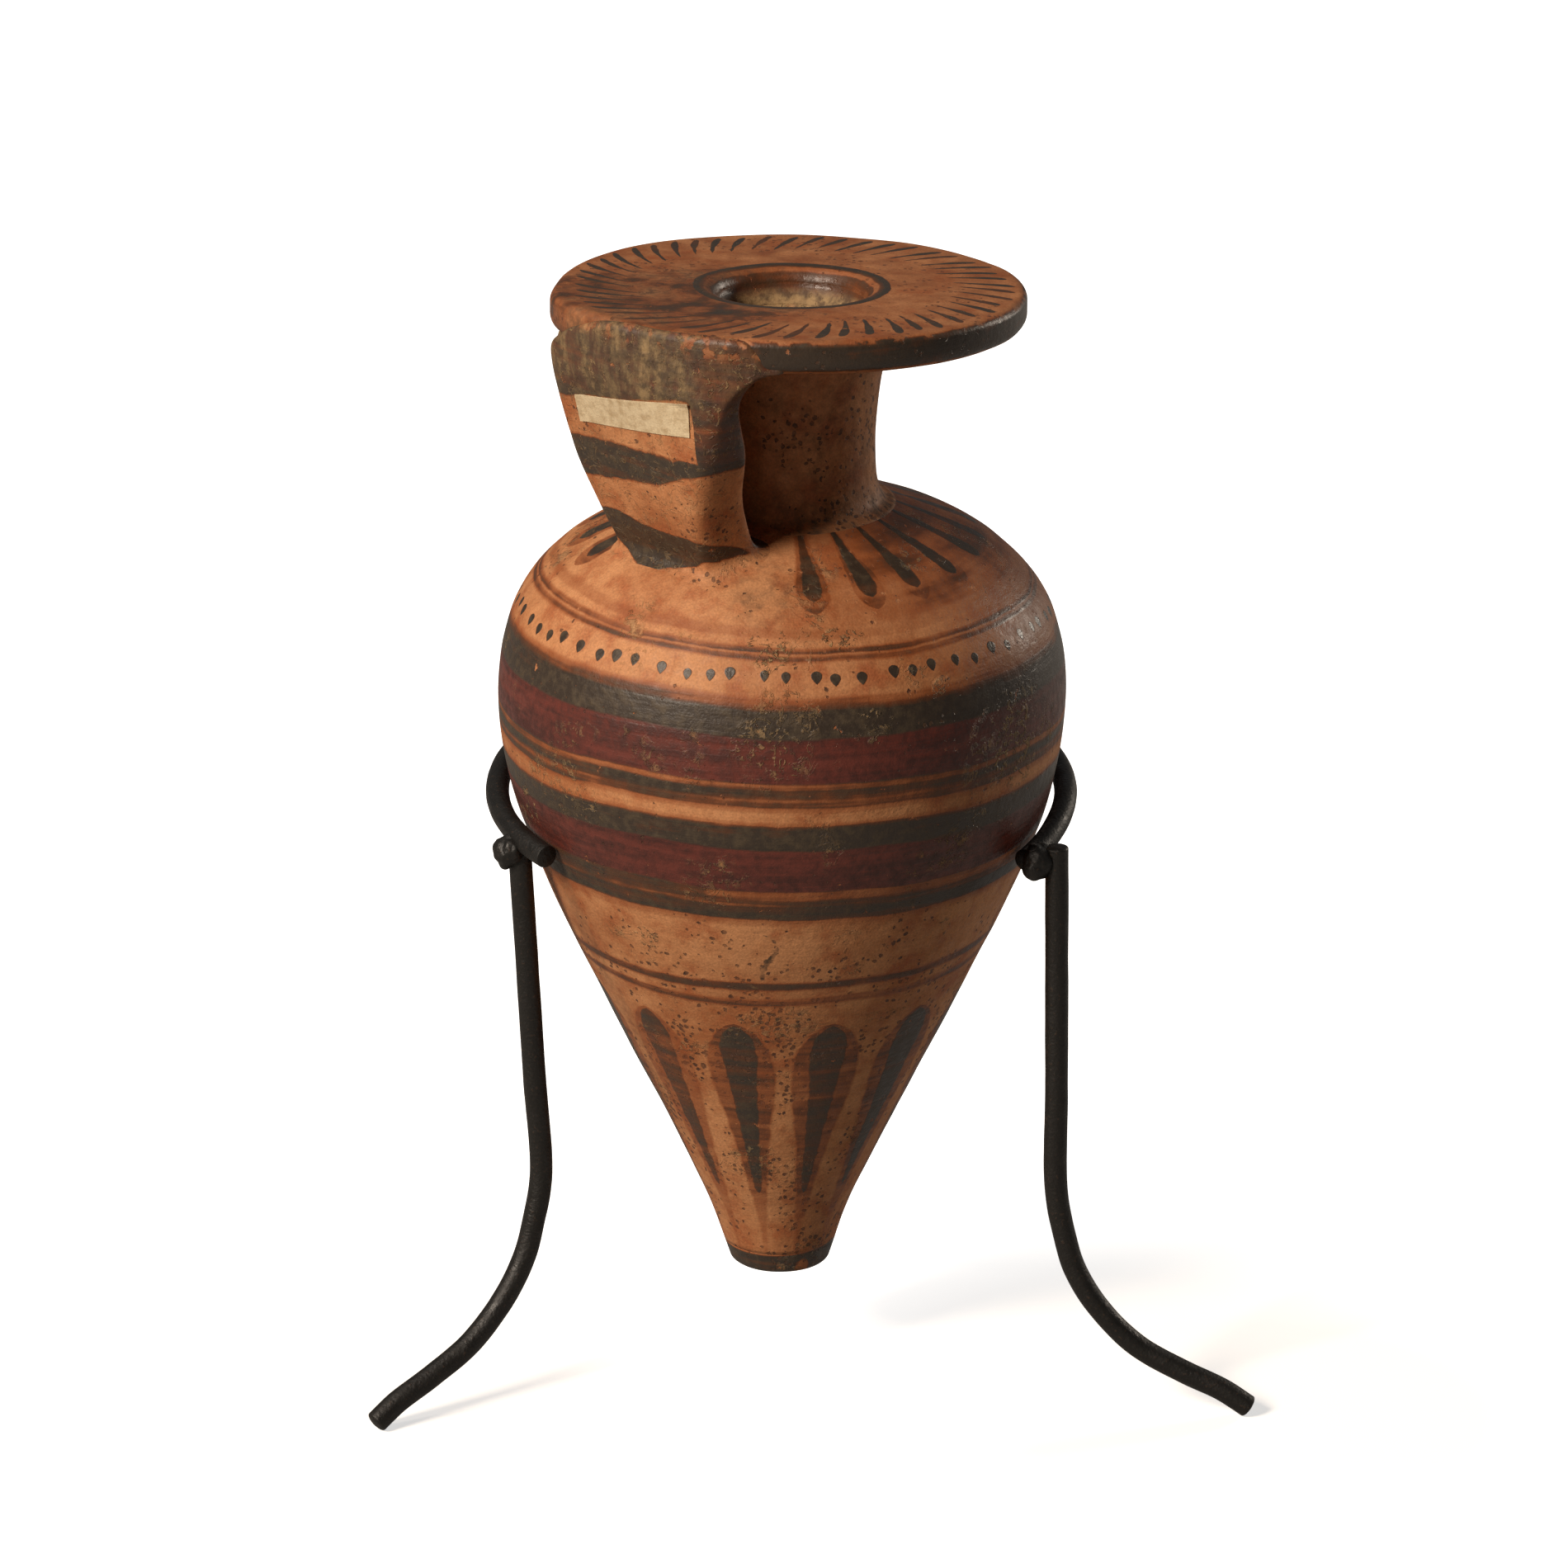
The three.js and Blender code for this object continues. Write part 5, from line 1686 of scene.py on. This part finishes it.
class ARYBALLOS_OT_stage(bpy.types.Operator):
    """Floor, camera, lamps and the white studio background"""

    bl_idname = "aryballos.stage"
    bl_label = "Studio stage"

    def execute(self, context):
        scene = context.scene
        stage = scene.aryballos_stage
        scene.view_settings.view_transform = "Standard"
        # The camera looks a little right of the vessel's axis
        aim = Vector((AXIS.x, AXIS.y, 0)) + direction(FRONT_AZIMUTH + 90) * 0.31 * MM
        aim.z = stage.aim_height
        up = math.radians(stage.camera_elevation)
        back = direction(FRONT_AZIMUTH) * math.cos(up) + Vector((0, 0, math.sin(up)))
        right = direction(FRONT_AZIMUTH + 90)
        turn = math.radians(stage.camera_roll)
        over = back.cross(right)
        camera = bpy.data.cameras.new("Photo camera")
        camera.lens, camera.sensor_width = stage.lens, 36
        camera.clip_start, camera.clip_end = 0.05, 20
        holder = bpy.data.objects.new("Photo camera", camera)
        scene.collection.objects.link(holder)
        rolled_right = right * math.cos(turn) + over * math.sin(turn)
        rolled_up = over * math.cos(turn) - right * math.sin(turn)
        holder.matrix_world = Matrix.Translation(aim + back * stage.camera_distance) @ Matrix(
            (rolled_right, rolled_up, back)
        ).transposed().to_4x4()
        scene.camera = holder

        half = 3.0
        corners = [(-half, -half, 0), (half, -half, 0), (half, half, 0), (-half, half, 0)]
        floor = linked("studio_floor", mesh_of("studio_floor", corners, (), [(0, 1, 2, 3)]))
        paper = bpy.data.materials.new("White studio paper")
        add = emptied(paper)
        rays, dim = white_seen(add, stage)
        place = add("ShaderNodeTexCoord").outputs["Object"]
        form = RingForm(scene.aryballos_vessel, scene.aryballos_stand)
        feet = on_stand([form.leg_line(name)[-1] for name in LEGS if name != "back_leg"])
        # The floor keeps the shadows round the front feet and burns out to white farther away
        near = []
        for foot in feet:
            away = add("VECTOR DISTANCE", place, tuple(foot)).outputs["Value"]
            near.append(add(RANGE, away, 0.03, stage.shadow_reach, stage.floor_glow, 1.1))
        seen = add("MULTIPLY", rays["Is Camera Ray"], folded(add, "MINIMUM", near))
        # White paper to the camera, greyer as a reflector, as when the table round it is small
        reflected, shown = linear("9A9792"), linear("F0EEEA")
        shade = add(MIX, rays["Is Camera Ray"], reflected, shown, data_type="RGBA")
        matt = add("ShaderNodeBsdfDiffuse", shade)
        white = add("ShaderNodeEmission", (1, 1, 1, 1), add("MAXIMUM", seen, dim))
        add("ShaderNodeOutputMaterial", add("ShaderNodeAddShader", matt, white))
        floor.data.materials.append(paper)

        world = bpy.data.worlds.new("White studio")
        scene.world = world
        add = emptied(world)
        rays, dim = white_seen(add, stage)
        seen = add("MAXIMUM", dim, rays["Is Camera Ray"])
        fill = add("ShaderNodeBackground", linear("FFF6EC"), stage.fill_strength)
        white = add("ShaderNodeBackground", (1, 1, 1, 1), 1.0)
        add("ShaderNodeOutputWorld", add("ShaderNodeMixShader", seen, fill, white))

        # Lamps: size, power, degrees right of the camera, elevation, distance and colour
        middle = Vector((AXIS.x, AXIS.y, 80 * MM))
        for name, size, power, view, colour in (
            ("Key softbox", (0.35, 0.35), stage.key_power, (-48, 34, 1.3), "FFEEDC"),
            ("Left top softbox", (0.16, 0.16), stage.top_power, (-100, 64, 1.1), "FFF4E8"),
            ("Right lamp", (0.1, 0.14), stage.right_power, (125, 13, 1.1), "FFF0DE"),
        ):
            area_light(name, size, power, round_view(*view, middle), middle, colour)
        return {"FINISHED"}


# ---------------------------------------------------------------- settings, panel and main

def length_setting(name, description, millimetres):
    return FloatProperty(name=name, description=description, default=millimetres * MM, unit="LENGTH")


def colour_setting(name, description, hex_colour):
    return FloatVectorProperty(
        name=name, description=description, default=linear(hex_colour), subtype="COLOR", size=4,
        min=0, max=1,
    )


class AryballosVessel(bpy.types.PropertyGroup):
    body_radius: length_setting("Body radius", "At the widest level", 36.5)
    disc_radius: length_setting("Disc radius", "Mouth disc to its rim", 29.9)
    mouth_radius: length_setting("Mouth radius", "Under the lip", 9.6)
    neck_waist: length_setting("Neck waist", "Smallest radius of the neck", 11.6)
    neck_root: length_setting("Neck root", "Radius where the clay roll meets the shoulder", 14.4)
    strap_fillet: length_setting("Strap fillet", "Radius of the clay at the strap's root", 2.0)
    flare_right: length_setting("Right flare", "How far the strap's right side spreads along the rim", 7)
    flare_back: length_setting("Back flare", "How far its back spreads under the disc", 3.2)
    flare_down: length_setting("Flare height", "How far under the disc the spread begins", 7)
    segments: IntProperty(name="Segments", description="Steps round the vessel", default=256, min=24)


class AryballosStand(bpy.types.PropertyGroup):
    rod_radius: length_setting("Rod radius", "Half the rod's thickness", 1.5)
    ring_height: length_setting("Ring height", "Ring's centreline at its two sides", 78.7)
    weld_radius: length_setting("Weld radius", "Radius of a weld bead", 2.2)


class AryballosFinish(bpy.types.PropertyGroup):
    clay_light: colour_setting("Light clay", "Clean burnished clay", "CB8F61")
    clay_dark: colour_setting("Dark clay", "Clay that was handled or fired harder", "A8683D")
    clay_red: colour_setting("Red clay", "Rust-coloured blotches in the clay", "A4552F")
    clay_pit: colour_setting("Pit", "Burnt-out grit and dirt in the pits", "43291C")
    # Thin and brown slip also make the painted shade on the body's right side
    slip_thin: colour_setting("Thin slip", "Iron slip where the brush ran dry", "8E4A22")
    slip_brown: colour_setting("Brown slip", "Iron slip at half its thickness", "59351F")
    slip_black: colour_setting("Black slip", "Iron slip at its full thickness", "382E25")
    slip_dust: colour_setting("Dusty slip", "Grey-brown dust lying on the slip", "5C4E3A")
    maroon: colour_setting("Maroon", "Purple-red paint over the slip", "683026")
    maroon_dark: colour_setting("Dark maroon", "The same paint where it is thin", "45201A")
    crust: colour_setting("Crust", "Lime crust and rootlets from the soil", "A98C62")
    # Dark crust also colours grime and the painted shade on the neck
    crust_dark: colour_setting("Dark crust", "Soil held in the crust", "4A3A2A")
    paper: colour_setting("Paper", "Old label paper", "DCCAA8")
    foxing: colour_setting("Foxing", "Brown ageing of the paper", "A1835A")
    paint: colour_setting("Paint", "Black paint on the rod", "110F0C")
    paint_rubbed: colour_setting("Rubbed paint", "Where the paint is worn brownish", "3A2C22")


class AryballosStage(bpy.types.PropertyGroup):
    camera_elevation: FloatProperty(
        name="Camera elevation", description="Degrees over the floor", default=19.66,
    )
    camera_roll: FloatProperty(name="Camera roll", description="Degrees", default=0.26)
    camera_distance: length_setting("Camera distance", "From the vessel's axis", 1200)
    lens: FloatProperty(name="Lens", description="Focal length in millimetres", default=213.5)
    aim_height: length_setting("Aim height", "Level at the image's centre", 79.7)
    key_power: FloatProperty(
        name="Key power", description="Front left softbox", default=18, unit="POWER",
    )
    top_power: FloatProperty(
        name="Top power", description="Softbox over the left side", default=1.5, unit="POWER",
    )
    right_power: FloatProperty(
        name="Right power", description="Small lamp behind the right side", default=3, unit="POWER",
    )
    fill_strength: FloatProperty(name="Fill", description="Strength of the room's light", default=0.01)
    floor_glow: FloatProperty(
        name="Floor glow", description="White added to the lit floor round the feet",
        default=0.62, min=0, max=1,
    )
    mirrored: FloatProperty(
        name="Mirrored white", description="How much of the white room shows in gloss",
        default=0.1, min=0, max=1,
    )
    shadow_reach: length_setting(
        "Shadow reach", "Distance from a foot at which the floor is plain white", 85,
    )


PIECE_OPERATORS = (
    ARYBALLOS_OT_body, ARYBALLOS_OT_foot, ARYBALLOS_OT_neck, ARYBALLOS_OT_mouth_disc,
    ARYBALLOS_OT_strap_handle, ARYBALLOS_OT_paper_label, ARYBALLOS_OT_ring, ARYBALLOS_OT_legs,
    ARYBALLOS_OT_welds, ARYBALLOS_OT_stage,
)


class ARYBALLOS_PT_panel(bpy.types.Panel):
    """Lists the settings and the pieces of the flask and of its stand"""

    bl_label = "Aryballos"
    bl_idname = "ARYBALLOS_PT_panel"
    bl_space_type = "VIEW_3D"
    bl_region_type = "UI"
    bl_category = "Aryballos"

    def draw(self, context):
        for group in SETTINGS:
            settings = getattr(context.scene, group)
            box = self.layout.box()
            for name in settings.__annotations__:
                box.prop(settings, name)
        for operator in PIECE_OPERATORS:
            self.layout.operator(operator.bl_idname)


SETTINGS = {
    "aryballos_vessel": AryballosVessel, "aryballos_stand": AryballosStand,
    "aryballos_finish": AryballosFinish, "aryballos_stage": AryballosStage,
}
CLASSES = (*SETTINGS.values(), *PIECE_OPERATORS, ARYBALLOS_PT_panel)


def register():
    for item in CLASSES:
        bpy.utils.register_class(item)
    for name, group in SETTINGS.items():
        setattr(bpy.types.Scene, name, PointerProperty(type=group))


def unregister():
    for name in SETTINGS:
        delattr(bpy.types.Scene, name)
    for item in reversed(CLASSES):
        bpy.utils.unregister_class(item)


def main():
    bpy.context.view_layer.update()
    register()
    for operator in PIECE_OPERATORS:
        group, name = operator.bl_idname.split(".")
        getattr(getattr(bpy.ops, group), name)()


if __name__ == "__main__":
    main()
